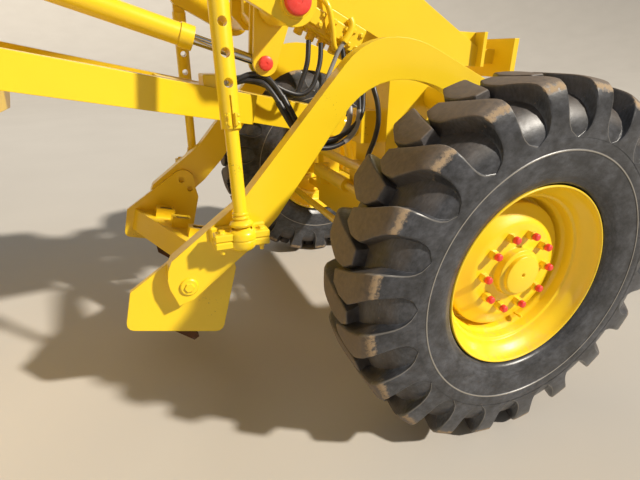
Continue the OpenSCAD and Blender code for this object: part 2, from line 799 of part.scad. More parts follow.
module in_circle() {
    in_drawbar() translate([-circle_x, 0, 0]) children();
}

module circle_ring() {
    color(yellow) in_circle() difference() {
        union() {
            translate([0, 0, ring_top - ring_h]) difference() {
                cylinder(r = circle_r, h = ring_h - rest_gap, $fn = 96);
                translate([0, 0, -1]) cylinder(r = circle_r - ring_w, h = ring_h + 2, $fn = 96);
            }
            both_sides() slab(blade_arm_y[0], blade_arm_y[1]) union() {
                polygon([
                    [-235, ring_top - ring_h + 1], [215, ring_top - ring_h + 1], [200, -195],
                    [-15, -250], [-64, -390], [-64, tip_pivot[1]], [tip_pivot[0] - 70, tip_pivot[1]]
                ]);
                translate(tip_pivot) circle(r = 70);
            }
            slab(-50, -30) tip_ear();
            slab(30, 50) tip_ear();
            bar_y(tip_anchor, 15, -50, 50);
        }
        both_sides() bar_y(tip_pivot, pivot_r + slide, blade_arm_y[0] - 1, blade_arm_y[1] + 1);
    }
}

module tip_ear() {
    translate(tip_anchor) circle(r = 34);
    translate([tip_anchor[0] - 34, tip_anchor[1]]) square([68, ring_top - ring_h + 1 - tip_anchor[1]]);
}

board_mid = -640;
board_face = 60;
board_cx = board_face + board_r;
rail_x = 10;
rail_up = [-470, -420];
rail_down = [-850, -800];
shift_axis = [-60, -745];
shift_rod_r = 20;
carrier_plate = [440, 480];

module tilt_bracket() {
    color(yellow) in_circle() {
        difference() {
            union() {
                bar_y(tip_pivot, 55, -blade_arm_y[0] + side_gap, blade_arm_y[0] - side_gap);
                bar_y(tip_pivot, pivot_r, -blade_arm_y[1] - 8, blade_arm_y[1] + 8);
                both_sides() slab(carrier_plate[0], carrier_plate[1]) polygon([
                    [-60, -380], [38, -380], [38, -510], [-5, -600], [38, -740], [38, -890],
                    [-90, -890], [-130, -745], [-118, -600]
                ]);
                slab(-40, 40) union() {
                    translate(tip_eye) circle(r = 36);
                    polygon([
                        [tip_eye[0] - 36, tip_eye[1]], [tip_eye[0] + 36, tip_eye[1]],
                        [tip_pivot[0] + 54, tip_pivot[1]], [tip_pivot[0] - 54, tip_pivot[1]]
                    ]);
                }
                bar_y(shift_axis, 46, -520, 520);
            }
            box([rail_x - slide, -600, rail_up[0] - slide], [200, 600, rail_up[1] + slide]);
            box([rail_x - slide, -600, rail_down[0] - slide], [200, 600, rail_down[1] + slide]);
            bar_y(shift_axis, shift_rod_r + slide, -480, 521);
            slab(-22, 22) translate(tip_eye) circle(r = 75);
        }
    }
}

lug_y = 1120;
module moldboard() {
    color(yellow) in_circle() {
        // curved plate with its cutting edge, end to end
        slab(-board_l / 2, board_l / 2) polygon(concat(
            arc([board_cx, board_mid], board_r, 146.5, 211, 14),
            arc([board_cx, board_mid], board_r + board_t, 211, 146.5, 14)
        ));
        slab(-board_l / 2, board_l / 2) polygon([
            [116, -905], [138, -920], [175, -1000], [158, -1008], [112, -930]
        ]);
        slab(-1400, 1400) translate([rail_x, rail_up[0]]) square([72, rail_up[1] - rail_up[0]]);
        slab(-1400, 1400) translate([rail_x, rail_down[0]]) square([66, rail_down[1] - rail_down[0]]);
        slab(lug_y, lug_y + 40) polygon([[-100, -790], [46, -790], [44, -700], [-100, -700]]);
    }
}

module shift_rod() {
    color(chrome) in_circle() bar_y(shift_axis, shift_rod_r, 20, lug_y);
}

tip_len = reach(tip_anchor, tip_eye);
module tip_barrel() {
    color(yellow) in_circle() along(tip_anchor, tip_eye, 0) difference() {
        union() {
            barrel(38, 45, 390, 17, 260);
            bar_y([0, 0], 32, -25, 25);
            translate([10, -25, -25]) cube([60, 50, 50]);
        }
        bar_y([0, 0], 15 + slide, -30, 30);
    }
}

module tip_rod() {
    color(chrome) in_circle() along(tip_anchor, tip_eye, 0)
        rod(17, 230, tip_len, 28, 22, 10);
}

// Lift cylinders, one each side

trunnion = [saddle_x, trunnion_z];
// Place of the lift stud in the axle frame
lift_stud = [ball[0] + lift_x * cos(draw_tilt), ball[1] - lift_x * sin(draw_tilt)];
lift_len = reach(trunnion, lift_stud);

module lift_barrel(left) {
    color(yellow) at_axle() on_side(left) difference() {
        union() {
            along(trunnion, lift_stud, lift_y) barrel(58, -640, 300, 27, 900);
            bar_y(trunnion, 66, lift_y - 60, lift_y + 60);
            bar_y(trunnion, 25, trunnion_y - 70, lift_y);
        }
        along(trunnion, lift_stud, lift_y)
            translate([-600, 0, 0]) rotate([0, 90, 0]) cylinder(r = 27 + slide, h = 901);
    }
}

module lift_rod(left) {
    color(chrome) at_axle() on_side(left) along(trunnion, lift_stud, lift_y)
        rod(27, -570, lift_len, 52, 60, 12);
}

// Centre shift cylinder, across the machine behind the lift cylinders

centre_x = -2450;
centre_top = [360, 1960];
centre_eye = [-420, 1610];
centre_len = reach(centre_top, centre_eye);

// Anything made along +X is laid across from the saddle's ears to the drawbar.
module across() {
    at_axle() translate([centre_x, centre_top[0], centre_top[1]])
        rotate([90 + 90 + atan2(centre_top[1] - centre_eye[1], centre_top[0] - centre_eye[0]), 0, 0])
        rotate([0, 0, 90]) children();
}

module centre_barrel() {
    color(yellow) across() difference() {
        union() {
            barrel(40, 40, 700, 20, 600);
            bar_y([0, 0], 36, -38, 38);
            bar_y([0, 0], 14.5, -76, 76);
            translate([10, -30, -30]) cube([60, 60, 60]);
        }
    }
}

module centre_rod() {
    color(chrome) across() rod(20, 120, centre_len, 38, 40, 12);
}

// Cab

cab_x = [-cab_front - cab_l, -cab_front];
floor_z = rail_top + 40;
floor_t = 50;
corner_x = -3950;
front_hw = 560;
door_x = [-4640, -3990];
door_z = [1500, 3040];
door_gap = 8;
sill_z = 1980;
head_z = 3020;
pane_t = 6;
pane_y = cab_hw - wall / 2;

function cab_plan(d) = [
    [cab_x[0] + d, -cab_hw + d], [corner_x - d * 0.2, -cab_hw + d], [cab_x[1] - d, -front_hw + d * 0.6],
    [cab_x[1] - d, front_hw - d * 0.6], [corner_x - d * 0.2, cab_hw - d], [cab_x[0] + d, cab_hw - d]
];

hinge_z = [1700, 2800];
hinge_l = 90;

// Fixed half of a door's hinges, with their pins.
module cab_hinges() {
    for (z = hinge_z) {
        translate([hinge[0], hinge[1], z + hinge_l + side_gap]) cylinder(r = 14, h = 50, $fn = fine);
        translate([hinge[0], hinge[1], z]) cylinder(r = 8, h = hinge_l + 50, $fn = fine);
        box([hinge[0] - 45, cab_hw - 1, z + hinge_l + side_gap], [hinge[0], hinge[1], z + hinge_l + 55]);
    }
}

module cab_body() {
    color(yellow) at_axle() both_sides() cab_hinges();
    color(yellow) at_axle() difference() {
        union() {
            translate([0, 0, floor_z]) linear_extrude(roof_z - floor_z - 60) polygon(cab_plan(0));
            translate([0, 0, roof_z - 90]) linear_extrude(90) polygon(cab_plan(-30));
        }
        translate([0, 0, floor_z + floor_t]) linear_extrude(roof_z - 90 - floor_z - floor_t) polygon(cab_plan(wall));
        // door openings, side, corner, front and rear windows
        both_sides() {
            box([door_x[0], cab_hw - wall - 5, door_z[0]], [door_x[1], cab_hw + 40, door_z[1]]);
            box([cab_x[0] + 90, cab_hw - wall - 5, sill_z], [door_x[0] - 60, cab_hw + 5, head_z]);
            translate([(corner_x + cab_x[1]) / 2, (cab_hw + front_hw) / 2, 0])
                rotate(atan2(front_hw - cab_hw, cab_x[1] - corner_x))
                translate([-130, -60, sill_z - 280]) cube([260, 120, head_z - sill_z + 280]);
        }
        box([cab_x[1] - wall - 5, -470, sill_z - 280], [cab_x[1] + 5, 470, head_z]);
        box([cab_x[0] - 5, -600, sill_z], [cab_x[0] + wall + 5, 600, head_z]);
    }
}

module cab_glass() {
    color(glass) at_axle() {
        both_sides() {
            box([cab_x[0] + 90, pane_y, sill_z], [door_x[0] - 60, pane_y + pane_t, head_z]);
            translate([(corner_x + cab_x[1]) / 2, (cab_hw + front_hw) / 2, 0])
                rotate(atan2(front_hw - cab_hw, cab_x[1] - corner_x))
                translate([-130, -22, sill_z - 280]) cube([260, pane_t, head_z - sill_z + 280]);
        }
        box([cab_x[1] - wall / 2, -470, sill_z - 280], [cab_x[1] - wall / 2 + pane_t, 470, head_z]);
        box([cab_x[0] + wall / 2, -600, sill_z], [cab_x[0] + wall / 2 + pane_t, 600, head_z]);
    }
}

door_frame = 60;
door_low = 420;
function door_box(m) = [
    [door_x[0] + m, 0, door_z[0] + m], [door_x[1] - m, 0, door_z[1] - m]
];

// Door, made for the left side, hinged at its rear edge.
module door(left) {
    d = door_box(door_gap);
    color(yellow) at_axle() on_side(left) {
        difference() {
            box([d[0][0], cab_hw - wall, d[0][2]], [d[1][0], cab_hw, d[1][2]]);
            box([d[0][0] + door_frame, cab_hw - wall - 1, d[0][2] + door_low],
                [d[1][0] - door_frame, cab_hw + 1, d[1][2] - door_frame]);
        }
        for (z = hinge_z) difference() {
            union() {
                translate([hinge[0], hinge[1], z]) cylinder(r = 14, h = hinge_l, $fn = fine);
                box([hinge[0], cab_hw - 1, z], [hinge[0] + 40, hinge[1], z + hinge_l]);
            }
            translate([hinge[0], hinge[1], z - 1]) cylinder(r = 8 + slide, h = hinge_l + 2, $fn = fine);
        }
        box([d[1][0] - 90, cab_hw - 1, 1880], [d[1][0] - 50, cab_hw + 25, 2020]);
    }
}
hinge = [door_x[0] + door_gap, cab_hw + 15];

module door_glass(left) {
    d = door_box(door_gap);
    color(glass) at_axle() on_side(left)
        box([d[0][0] + door_frame, pane_y, d[0][2] + door_low],
            [d[1][0] - door_frame, pane_y + pane_t, d[1][2] - door_frame]);
}

module seat() {
    color(black) at_axle() translate([-4420, 0, floor_z + floor_t]) {
        box([-150, -150, 0], [150, 150, 320]);
        box([-250, -250, 319], [250, 250, 430]);
        translate([-230, 0, 429]) rotate([0, -8, 0]) box([-60, -240, -20], [50, 240, 620]);
    }
}

module console() {
    color(black) at_axle() translate([-3860, 0, floor_z + floor_t]) {
        box([-90, -150, 0], [90, 150, 560]);
        for (y = [-190, 190]) box([-120, y - 40, 0], [60, y + 40, 620]);
        translate([-40, 0, 540]) rotate([0, -35, 0]) {
            cylinder(r = 35, h = 220);
            translate([0, 0, 200]) rotate_extrude() translate([190, 0]) circle(r = 14, $fn = 16);
            box([-190, -18, 190], [190, 18, 212]);
        }
    }
}

// Engine end

hood_x = [-rear_reach + 220, -cab_front - cab_l - 50];
hood_hw = 470;
hood_z = [rail_top, 2280];
hood_t = 14;
slot_z = hood_z[0] + 120;

module engine_hood() {
    color(yellow) at_axle() difference() {
        slab_x(hood_x[0], hood_x[1]) polygon([
            [-hood_hw, hood_z[0]], [-hood_hw, hood_z[1] - 120], [-hood_hw + 120, hood_z[1]],
            [hood_hw - 120, hood_z[1]], [hood_hw, hood_z[1] - 120], [hood_hw, hood_z[0]]
        ]);
        slab_x(hood_x[0] + hood_t, hood_x[1] - hood_t) polygon([
            [-hood_hw + hood_t, hood_z[0] - 1], [-hood_hw + hood_t, hood_z[1] - 126],
            [-hood_hw + 126, hood_z[1] - hood_t], [hood_hw - 126, hood_z[1] - hood_t],
            [hood_hw - hood_t, hood_z[1] - 126], [hood_hw - hood_t, hood_z[0] - 1]
        ]);
        // radiator slots at the rear and louvres at the sides
        for (i = [0:11])
            box([hood_x[0] - 1, -360, slot_z + i * 58], [hood_x[0] + hood_t + 1, 360, slot_z + 30 + i * 58]);
        both_sides() for (i = [0:9], x = [hood_x[0] + 430, hood_x[0] + 1330])
            box([x, hood_hw - hood_t - 1, slot_z + 60 + i * 50], [x + 700, hood_hw + 1, slot_z + 80 + i * 50]);
    }
}

// A flat outline in Y and Z, given thickness between two values of X.
module slab_x(x0, x1) {
    translate([x0, 0, 0]) rotate([90, 0, 90]) linear_extrude(x1 - x0) children();
}

module engine_block() {
    color(steel) at_axle() box(
        [tandem_x - 900, -rail_hw + rail_w, rail_top - 80], [tandem_x + 400, rail_hw - rail_w, rail_top + 670]
    );
}

module exhaust() {
    color(black) at_axle() {
        translate([hood_x[1] - 720, 200, hood_z[1]]) {
            cylinder(r = 95, h = 520);
            translate([0, 0, 519]) cylinder(r = 48, h = 330);
        }
        translate([hood_x[1] - 370, -180, hood_z[1]]) {
            cylinder(r = 60, h = 300);
            translate([0, 0, 299]) cylinder(r = 115, h = 180);
        }
    }
}

module fuel_tank() {
    color(yellow) at_axle() box(
        [-rear_reach + 160, -rail_hw + rail_w, rail_top - 480],
        [-rear_reach + 700, rail_hw - rail_w, rail_top - 10]
    );
}

step_w = 320;
step_gap = 235;
step_x = [mid_x + tyre_r + step_gap, mid_x + tyre_r + step_gap + step_w];
step_y = 780;
step_z = [560, 900, 1240];
step_top = rail_top - 40;
module steps() {
    color(black) at_axle() both_sides() {
        for (x = step_x) box([x - 15, step_y, step_z[0]], [x + 15, step_y + 40, step_top]);
        for (x = step_x) box([x - 15, rail_hw, step_top - 40], [x + 15, step_y + 41, step_top]);
        for (z = step_z) box([step_x[0] + 14, step_y - 80, z], [step_x[1] - 14, step_y + 70, z + 25]);
    }
}

front_frame();
saddle();
rear_frame();
front_axle();
lean_linkage();
steer_barrel();
steer_rod();
knuckle(true);  // knuckle_left
knuckle(false);  // knuckle_right
tie_rod();
wheel_at(0, true) tyre(true);  // tyre_front_left
wheel_at(0, false) tyre(false);  // tyre_front_right
wheel_at(mid_x, true) tyre(true);  // tyre_mid_left
wheel_at(mid_x, false) tyre(false);  // tyre_mid_right
wheel_at(last_x, true) tyre(true);  // tyre_rear_left
wheel_at(last_x, false) tyre(false);  // tyre_rear_right
wheel_at(0, true) rim();  // rim_front_left
wheel_at(0, false) rim();  // rim_front_right
wheel_at(mid_x, true) rim();  // rim_mid_left
wheel_at(mid_x, false) rim();  // rim_mid_right
wheel_at(last_x, true) rim();  // rim_rear_left
wheel_at(last_x, false) rim();  // rim_rear_right
scarifier_frame();
scarifier_teeth();
scarifier_shaft();
scarifier_link(true);  // scarifier_link_left
scarifier_link(false);  // scarifier_link_right
scarifier_barrel();
scarifier_rod();
drawbar();
circle_drive();
circle_ring();
tilt_bracket();
moldboard();
shift_rod();
tip_barrel();
tip_rod();
lift_barrel(true);  // lift_barrel_left
lift_barrel(false);  // lift_barrel_right
lift_rod(true);  // lift_rod_left
lift_rod(false);  // lift_rod_right
centre_barrel();
centre_rod();
cab_body();
cab_glass();
door(true);  // door_left
door(false);  // door_right
door_glass(true);  // door_glass_left
door_glass(false);  // door_glass_right
seat();
console();
engine_hood();
engine_block();
exhaust();
fuel_tank();
rear_axle();
tandem(true);  // tandem_left
tandem(false);  // tandem_right
steps();
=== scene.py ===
"""Looks of the motor grader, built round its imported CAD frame.

The CAD nodes keep their shapes and get procedural finishes. Tyres, wheel caps, bolts, hoses
and other small fittings are made here and ride on the CAD bodies. Every place is in metres in
the part's frame: +X forwards, +Y to the machine's left, +Z up, the ground at Z 0.
"""

import logging
import math
from dataclasses import dataclass, field
from enum import Enum
from itertools import product
from typing import Any, Sequence

import bmesh
import bpy
from mathutils import Matrix, Vector
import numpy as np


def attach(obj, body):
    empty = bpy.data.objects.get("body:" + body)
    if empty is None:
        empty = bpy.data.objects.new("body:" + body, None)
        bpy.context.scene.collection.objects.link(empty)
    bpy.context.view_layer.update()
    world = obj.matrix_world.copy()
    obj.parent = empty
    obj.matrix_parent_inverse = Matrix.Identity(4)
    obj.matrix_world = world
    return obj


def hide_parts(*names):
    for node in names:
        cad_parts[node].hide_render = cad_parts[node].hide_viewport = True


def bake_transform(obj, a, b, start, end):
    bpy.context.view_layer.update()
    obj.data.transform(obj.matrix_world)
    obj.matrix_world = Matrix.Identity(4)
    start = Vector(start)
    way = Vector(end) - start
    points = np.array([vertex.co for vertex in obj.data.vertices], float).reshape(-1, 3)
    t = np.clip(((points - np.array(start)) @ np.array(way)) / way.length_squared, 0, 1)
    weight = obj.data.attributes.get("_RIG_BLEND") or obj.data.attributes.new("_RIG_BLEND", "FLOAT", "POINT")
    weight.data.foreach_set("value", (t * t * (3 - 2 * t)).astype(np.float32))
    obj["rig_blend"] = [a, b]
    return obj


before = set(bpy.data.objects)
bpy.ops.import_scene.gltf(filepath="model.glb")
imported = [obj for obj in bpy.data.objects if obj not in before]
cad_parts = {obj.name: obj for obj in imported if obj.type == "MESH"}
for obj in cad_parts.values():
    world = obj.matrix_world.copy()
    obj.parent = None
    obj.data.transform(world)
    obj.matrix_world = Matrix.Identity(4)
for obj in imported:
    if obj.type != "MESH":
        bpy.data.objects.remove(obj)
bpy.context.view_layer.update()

log = logging.getLogger("motor_grader")

# The front axle stands this far ahead of the middle of the machine, as in the part's source.
AXLE_X = 3.4325
WHEEL_Y = 0.970
HUB_Z = 0.685
# Angles in degrees past which an edge stays sharp.
PLATE_CREASE, TURNED_CREASE, HOSE_CREASE = 35.0, 30.0, 50.0

Point = tuple[float, float, float]
Profile = tuple[tuple[float, float], ...]
# Dirt colour of a point with none.
CLEAN = (0.0, 0.0, 0.0)


class Side(Enum):
    """Side of the machine, as the sign of its Y."""

    LEFT = 1
    RIGHT = -1

    @property
    def where(self) -> str:
        """The side as it stands in the names of nodes and bodies."""
        return self.name.lower()

    @property
    def out(self) -> Vector:
        """Direction away from the machine."""
        return Vector((0, self.value, 0))


class Axle(Enum):
    """Axle of a wheel, as its X in the axle frame."""

    FRONT = 0.0
    MID = -5.04
    REAR = -6.56


def at_axle(x: float, y: float, z: float) -> Vector:
    """Turns a place in the front axle's frame, in mm, into one in the part's frame."""
    return Vector((x / 1000 + AXLE_X, y / 1000, z / 1000))


# Node trees


def set_inputs(tree: Any, node: Any, inputs: dict) -> None:
    """Gives a node's inputs their values and links.

    Args:
        tree: node tree that holds the node.
        node: the node.
        inputs: a value, or an output to link, for each input by name or number.
    """
    for key, value in inputs.items():
        if isinstance(value, bpy.types.NodeSocket):
            tree.links.new(value, node.inputs[key])
        else:
            node.inputs[key].default_value = value


def add_node(tree: Any, kind: str, inputs: dict | None = None, **settings: Any) -> Any:
    """Adds one node to a tree, with its settings, its values and its links.

    Args:
        tree: node tree of a material or a modifier.
        kind: type name of the node.
        inputs: a value, or an output to link, for each input by name or number.
        settings: attributes of the node itself.

    Returns:
        The new node.
    """
    node = tree.nodes.new(kind)
    for name, value in settings.items():
        setattr(node, name, value)
    set_inputs(tree, node, inputs or {})
    return node


def linear(code: str) -> tuple[float, float, float, float]:
    """Turns an sRGB hex colour into linear values.

    Args:
        code: colour as "#RRGGBB".

    Returns:
        Red, green, blue and alpha, linear.
    """
    parts = [int(code[i : i + 2], 16) / 255 for i in (1, 3, 5)]
    return (*(c / 12.92 if c <= 0.04045 else ((c + 0.055) / 1.055) ** 2.4 for c in parts), 1.0)


# Finishes


@dataclass(frozen=True)
class Finish:
    """A surface finish that builds one material, once."""

    name: str

    def material(self) -> bpy.types.Material:
        """Builds the finish's material on first use.

        Returns:
            The material.
        """
        made = bpy.data.materials.get(self.name)
        if not made:
            made = bpy.data.materials.new(self.name)
            made.use_nodes = True
            tree = made.node_tree
            where = add_node(tree, "ShaderNodeTexCoord").outputs
            set_inputs(tree, tree.nodes["Principled BSDF"], self.paint(tree, where))
        return made

    def paint(self, tree: Any, where: Any) -> dict[str, Any]:
        """Adds the finish's own nodes.

        Args:
            tree: the material's node tree.
            where: outputs of its Texture Coordinate node.

        Returns:
            Value or output for each input of the shader that the finish sets.
        """
        raise NotImplementedError


@dataclass(frozen=True)
class SprayedEnamel(Finish):
    """Alkyd enamel sprayed over primed steel, as on construction machines.

    A thick glossy film with slight orange peel: broad soft highlights, a little fading from
    place to place, dust that settles on what faces up, and brown scuffs where tools rub.
    """

    name: str = "sprayed_enamel"
    colour: str = "#F8D61B"
    faded: str = "#F0CA24"
    dust: str = "#B79A6A"
    scuff: str = "#5A3B20"
    dustiness: float = 0.5
    scuffs: float = 0.5

    def paint(self, tree: Any, where: Any) -> dict[str, Any]:
        """Adds the nodes: faded colour, dust by facing, scuffs, orange peel.

        Args:
            tree: the material's node tree.
            where: outputs of its Texture Coordinate node.

        Returns:
            Value or output for each input of the shader that the finish sets.
        """
        place = where["Object"]
        # fading in patches of about half a metre
        broad = add_node(tree, "ShaderNodeTexNoise", {"Vector": place, "Scale": 2.2, "Detail": 3.0})
        base = add_node(tree, "ShaderNodeMix", {
            "Factor": broad.outputs["Fac"], 6: linear(self.colour), 7: linear(self.faded)},
            data_type="RGBA")
        # dust lies where the surface faces up, broken up at 40 mm
        facing = add_node(tree, "ShaderNodeSeparateXYZ", {"Vector": where["Normal"]})
        up = add_node(tree, "ShaderNodeMapRange", {
            "Value": facing.outputs["Z"], "From Min": 0.55, "From Max": 1.0,
            "To Max": self.dustiness}, interpolation_type="SMOOTHSTEP")
        patch = add_node(tree, "ShaderNodeTexNoise", {"Vector": place, "Scale": 24.0, "Detail": 6.0,
                                                      "Roughness": 0.65})
        lying = add_node(tree, "ShaderNodeMapRange", {
            "Value": patch.outputs["Fac"], "From Min": 0.42, "From Max": 0.72})
        dusty = add_node(tree, "ShaderNodeMath", {0: up.outputs[0], 1: lying.outputs[0]},
                         operation="MULTIPLY")
        dusted = add_node(tree, "ShaderNodeMix", {
            "Factor": dusty.outputs[0], 6: base.outputs[2], 7: linear(self.dust)}, data_type="RGBA")
        # scuffs a few mm wide, thinly spread
        chips = add_node(tree, "ShaderNodeTexNoise", {"Vector": place, "Scale": 90.0, "Detail": 5.0,
                                                      "Roughness": 0.75})
        zone = add_node(tree, "ShaderNodeTexNoise", {"Vector": place, "Scale": 5.0, "Detail": 2.0})
        both = add_node(tree, "ShaderNodeMath", {0: chips.outputs["Fac"], 1: zone.outputs["Fac"]},
                        operation="MULTIPLY")
        worn = add_node(tree, "ShaderNodeMapRange", {
            "Value": both.outputs[0], "From Min": 0.43, "From Max": 0.47, "To Max": self.scuffs})
        colour = add_node(tree, "ShaderNodeMix", {
            "Factor": worn.outputs[0], 6: dusted.outputs[2], 7: linear(self.scuff)},
            data_type="RGBA")
        rough = add_node(tree, "ShaderNodeMapRange", {
            "Value": dusty.outputs[0], "To Min": 0.34, "To Max": 0.85})
        # orange peel, drawn at 9 mm so that it shows, and wavy plate at 150 mm
        peel = add_node(tree, "ShaderNodeTexNoise", {"Vector": place, "Scale": 110.0,
                                                     "Detail": 2.0})
        wave = add_node(tree, "ShaderNodeTexNoise", {"Vector": place, "Scale": 7.0, "Detail": 1.0})
        edge = add_node(tree, "ShaderNodeBevel", {"Radius": 0.004}, samples=4)
        soft = add_node(tree, "ShaderNodeBump", {
            "Height": wave.outputs["Fac"], "Strength": 0.25, "Distance": 0.012,
            "Normal": edge.outputs[0]})
        bump = add_node(tree, "ShaderNodeBump", {
            "Height": peel.outputs["Fac"], "Strength": 0.12, "Distance": 0.0015,
            "Normal": soft.outputs[0]})
        return {"Base Color": colour.outputs[2], "Roughness": rough.outputs[0],
                "Normal": bump.outputs[0], "IOR": 1.5, "Coat Weight": 0.25,
                "Coat Roughness": 0.12}


@dataclass(frozen=True)
class BlackEnamel(Finish):
    """Satin black enamel on steel fittings: grey sheen, dust in patches of 60 mm."""

    name: str = "satin_black_enamel"
    colour: str = "#17181A"
    dust: str = "#5E554A"

    def paint(self, tree: Any, where: Any) -> dict[str, Any]:
        """Adds the nodes: black with dust in patches.

        Args:
            tree: the material's node tree.
            where: outputs of its Texture Coordinate node.

        Returns:
            Value or output for each input of the shader that the finish sets.
        """
        patch = add_node(tree, "ShaderNodeTexNoise", {
            "Vector": where["Object"], "Scale": 16.0, "Detail": 5.0})
        lying = add_node(tree, "ShaderNodeMapRange", {
            "Value": patch.outputs["Fac"], "From Min": 0.45, "From Max": 0.8, "To Max": 0.5})
        colour = add_node(tree, "ShaderNodeMix", {
            "Factor": lying.outputs[0], 6: linear(self.colour), 7: linear(self.dust)},
            data_type="RGBA")
        rough = add_node(tree, "ShaderNodeMapRange", {
            "Value": lying.outputs[0], "To Min": 0.42, "To Max": 0.9})
        edge = add_node(tree, "ShaderNodeBevel", {"Radius": 0.003}, samples=4)
        bump = add_node(tree, "ShaderNodeBump", {
            "Height": patch.outputs["Fac"], "Strength": 0.2, "Distance": 0.002,
            "Normal": edge.outputs[0]})
        return {"Base Color": colour.outputs[2], "Roughness": rough.outputs[0],
                "Normal": bump.outputs[0]}


@dataclass(frozen=True)
class MouldedCap(Finish):
    """Red polyethylene caps, injection moulded: waxy gloss, slightly see-through edges."""

    name: str = "moulded_red_cap"
    colour: str = "#DE2A22"
    pale: str = "#F0584C"

    def paint(self, tree: Any, where: Any) -> dict[str, Any]:
        """Adds the nodes: red with a paler bloom of 8 mm.

        Args:
            tree: the material's node tree.
            where: outputs of its Texture Coordinate node.

        Returns:
            Value or output for each input of the shader that the finish sets.
        """
        bloom = add_node(tree, "ShaderNodeTexNoise", {
            "Vector": where["Object"], "Scale": 120.0, "Detail": 2.0})
        colour = add_node(tree, "ShaderNodeMix", {
            "Factor": bloom.outputs["Fac"], 6: linear(self.colour), 7: linear(self.pale)},
            data_type="RGBA")
        return {"Base Color": colour.outputs[2], "Roughness": 0.38, "IOR": 1.51,
                "Subsurface Weight": 0.08, "Subsurface Scale": 0.004}


@dataclass(frozen=True)
class TyreRubber(Finish):
    """Vulcanised tyre rubber that has worked in dirt.

    Dark, softly glossy sidewall with rubbed streaks; grey-brown dust ground into the tops of
    the lugs, tan earth on the shoulders and a pale line where the mould closed. The mesh's
    "dirt" attribute says where: red for lug tops, green for shoulders, blue for pale edges.
    """

    name: str = "weathered_tyre_rubber"
    rubber: str = "#232427"
    rubbed: str = "#4C4E54"
    ground: str = "#7A6C5E"
    earth: str = "#A48E72"
    pale: str = "#9A958C"

    def paint(self, tree: Any, where: Any) -> dict[str, Any]:
        """Adds the nodes: rubbed rubber, then ground dust, earth and pale edges.

        Args:
            tree: the material's node tree.
            where: outputs of its Texture Coordinate node.

        Returns:
            Value or output for each input of the shader that the finish sets.
        """
        place = where["Object"]
        dirt = add_node(tree, "ShaderNodeSeparateColor", {
            "Color": add_node(tree, "ShaderNodeAttribute", attribute_name="dirt").outputs["Color"]})
        # rubbed patches of 80 mm with fine streaks of 4 mm
        patch = add_node(tree, "ShaderNodeTexNoise", {"Vector": place, "Scale": 12.0, "Detail": 6.0,
                                                      "Roughness": 0.6})
        stretch = add_node(tree, "ShaderNodeMapping", {"Vector": place, "Scale": (1.0, 6.0, 1.6),
                                                       "Rotation": (0.0, 0.7, 0.0)})
        streak = add_node(tree, "ShaderNodeTexNoise", {
            "Vector": stretch.outputs[0], "Scale": 34.0, "Detail": 7.0, "Roughness": 0.7})
        mixed = add_node(tree, "ShaderNodeMath", {
            0: patch.outputs["Fac"], 1: streak.outputs["Fac"]}, operation="MULTIPLY")
        rub = add_node(tree, "ShaderNodeMapRange", {
            "Value": mixed.outputs[0], "From Min": 0.16, "From Max": 0.40})
        base = add_node(tree, "ShaderNodeMix", {
            "Factor": rub.outputs[0], 6: linear(self.rubber), 7: linear(self.rubbed)},
            data_type="RGBA")
        grit = add_node(tree, "ShaderNodeTexNoise", {"Vector": place, "Scale": 60.0, "Detail": 8.0,
                                                     "Roughness": 0.72})
        # dust ground into the lug tops
        top = add_node(tree, "ShaderNodeMapRange", {
            "Value": grit.outputs["Fac"], "From Min": 0.25, "From Max": 0.62, "To Min": 0.35})
        topped = add_node(tree, "ShaderNodeMath", {
            0: top.outputs[0], 1: dirt.outputs["Red"]}, operation="MULTIPLY")
        dusty = add_node(tree, "ShaderNodeMix", {
            "Factor": topped.outputs[0], 6: base.outputs[2], 7: linear(self.ground)},
            data_type="RGBA")
        # tan earth on the shoulders, broken up at its rim
        rim = add_node(tree, "ShaderNodeMath", {
            0: dirt.outputs["Green"], 1: grit.outputs["Fac"]}, operation="MULTIPLY")
        caked = add_node(tree, "ShaderNodeMapRange", {
            "Value": rim.outputs[0], "From Min": 0.30, "From Max": 0.46})
        earthy = add_node(tree, "ShaderNodeMix", {
            "Factor": caked.outputs[0], 6: dusty.outputs[2], 7: linear(self.earth)},
            data_type="RGBA")
        line = add_node(tree, "ShaderNodeMapRange", {
            "Value": dirt.outputs["Blue"], "From Min": 0.3, "From Max": 0.9, "To Max": 0.75})
        colour = add_node(tree, "ShaderNodeMix", {
            "Factor": line.outputs[0], 6: earthy.outputs[2], 7: linear(self.pale)},
            data_type="RGBA")
        earthen = add_node(tree, "ShaderNodeMath", {
            0: topped.outputs[0], 1: caked.outputs[0]}, operation="MAXIMUM")
        rough = add_node(tree, "ShaderNodeMapRange", {
            "Value": earthen.outputs[0], "To Min": 0.34, "To Max": 0.95})
        grain = add_node(tree, "ShaderNodeBump", {
            "Height": grit.outputs["Fac"], "Strength": 0.25, "Distance": 0.002})
        return {"Base Color": colour.outputs[2], "Roughness": rough.outputs[0],
                "Normal": grain.outputs[0], "IOR": 1.52}


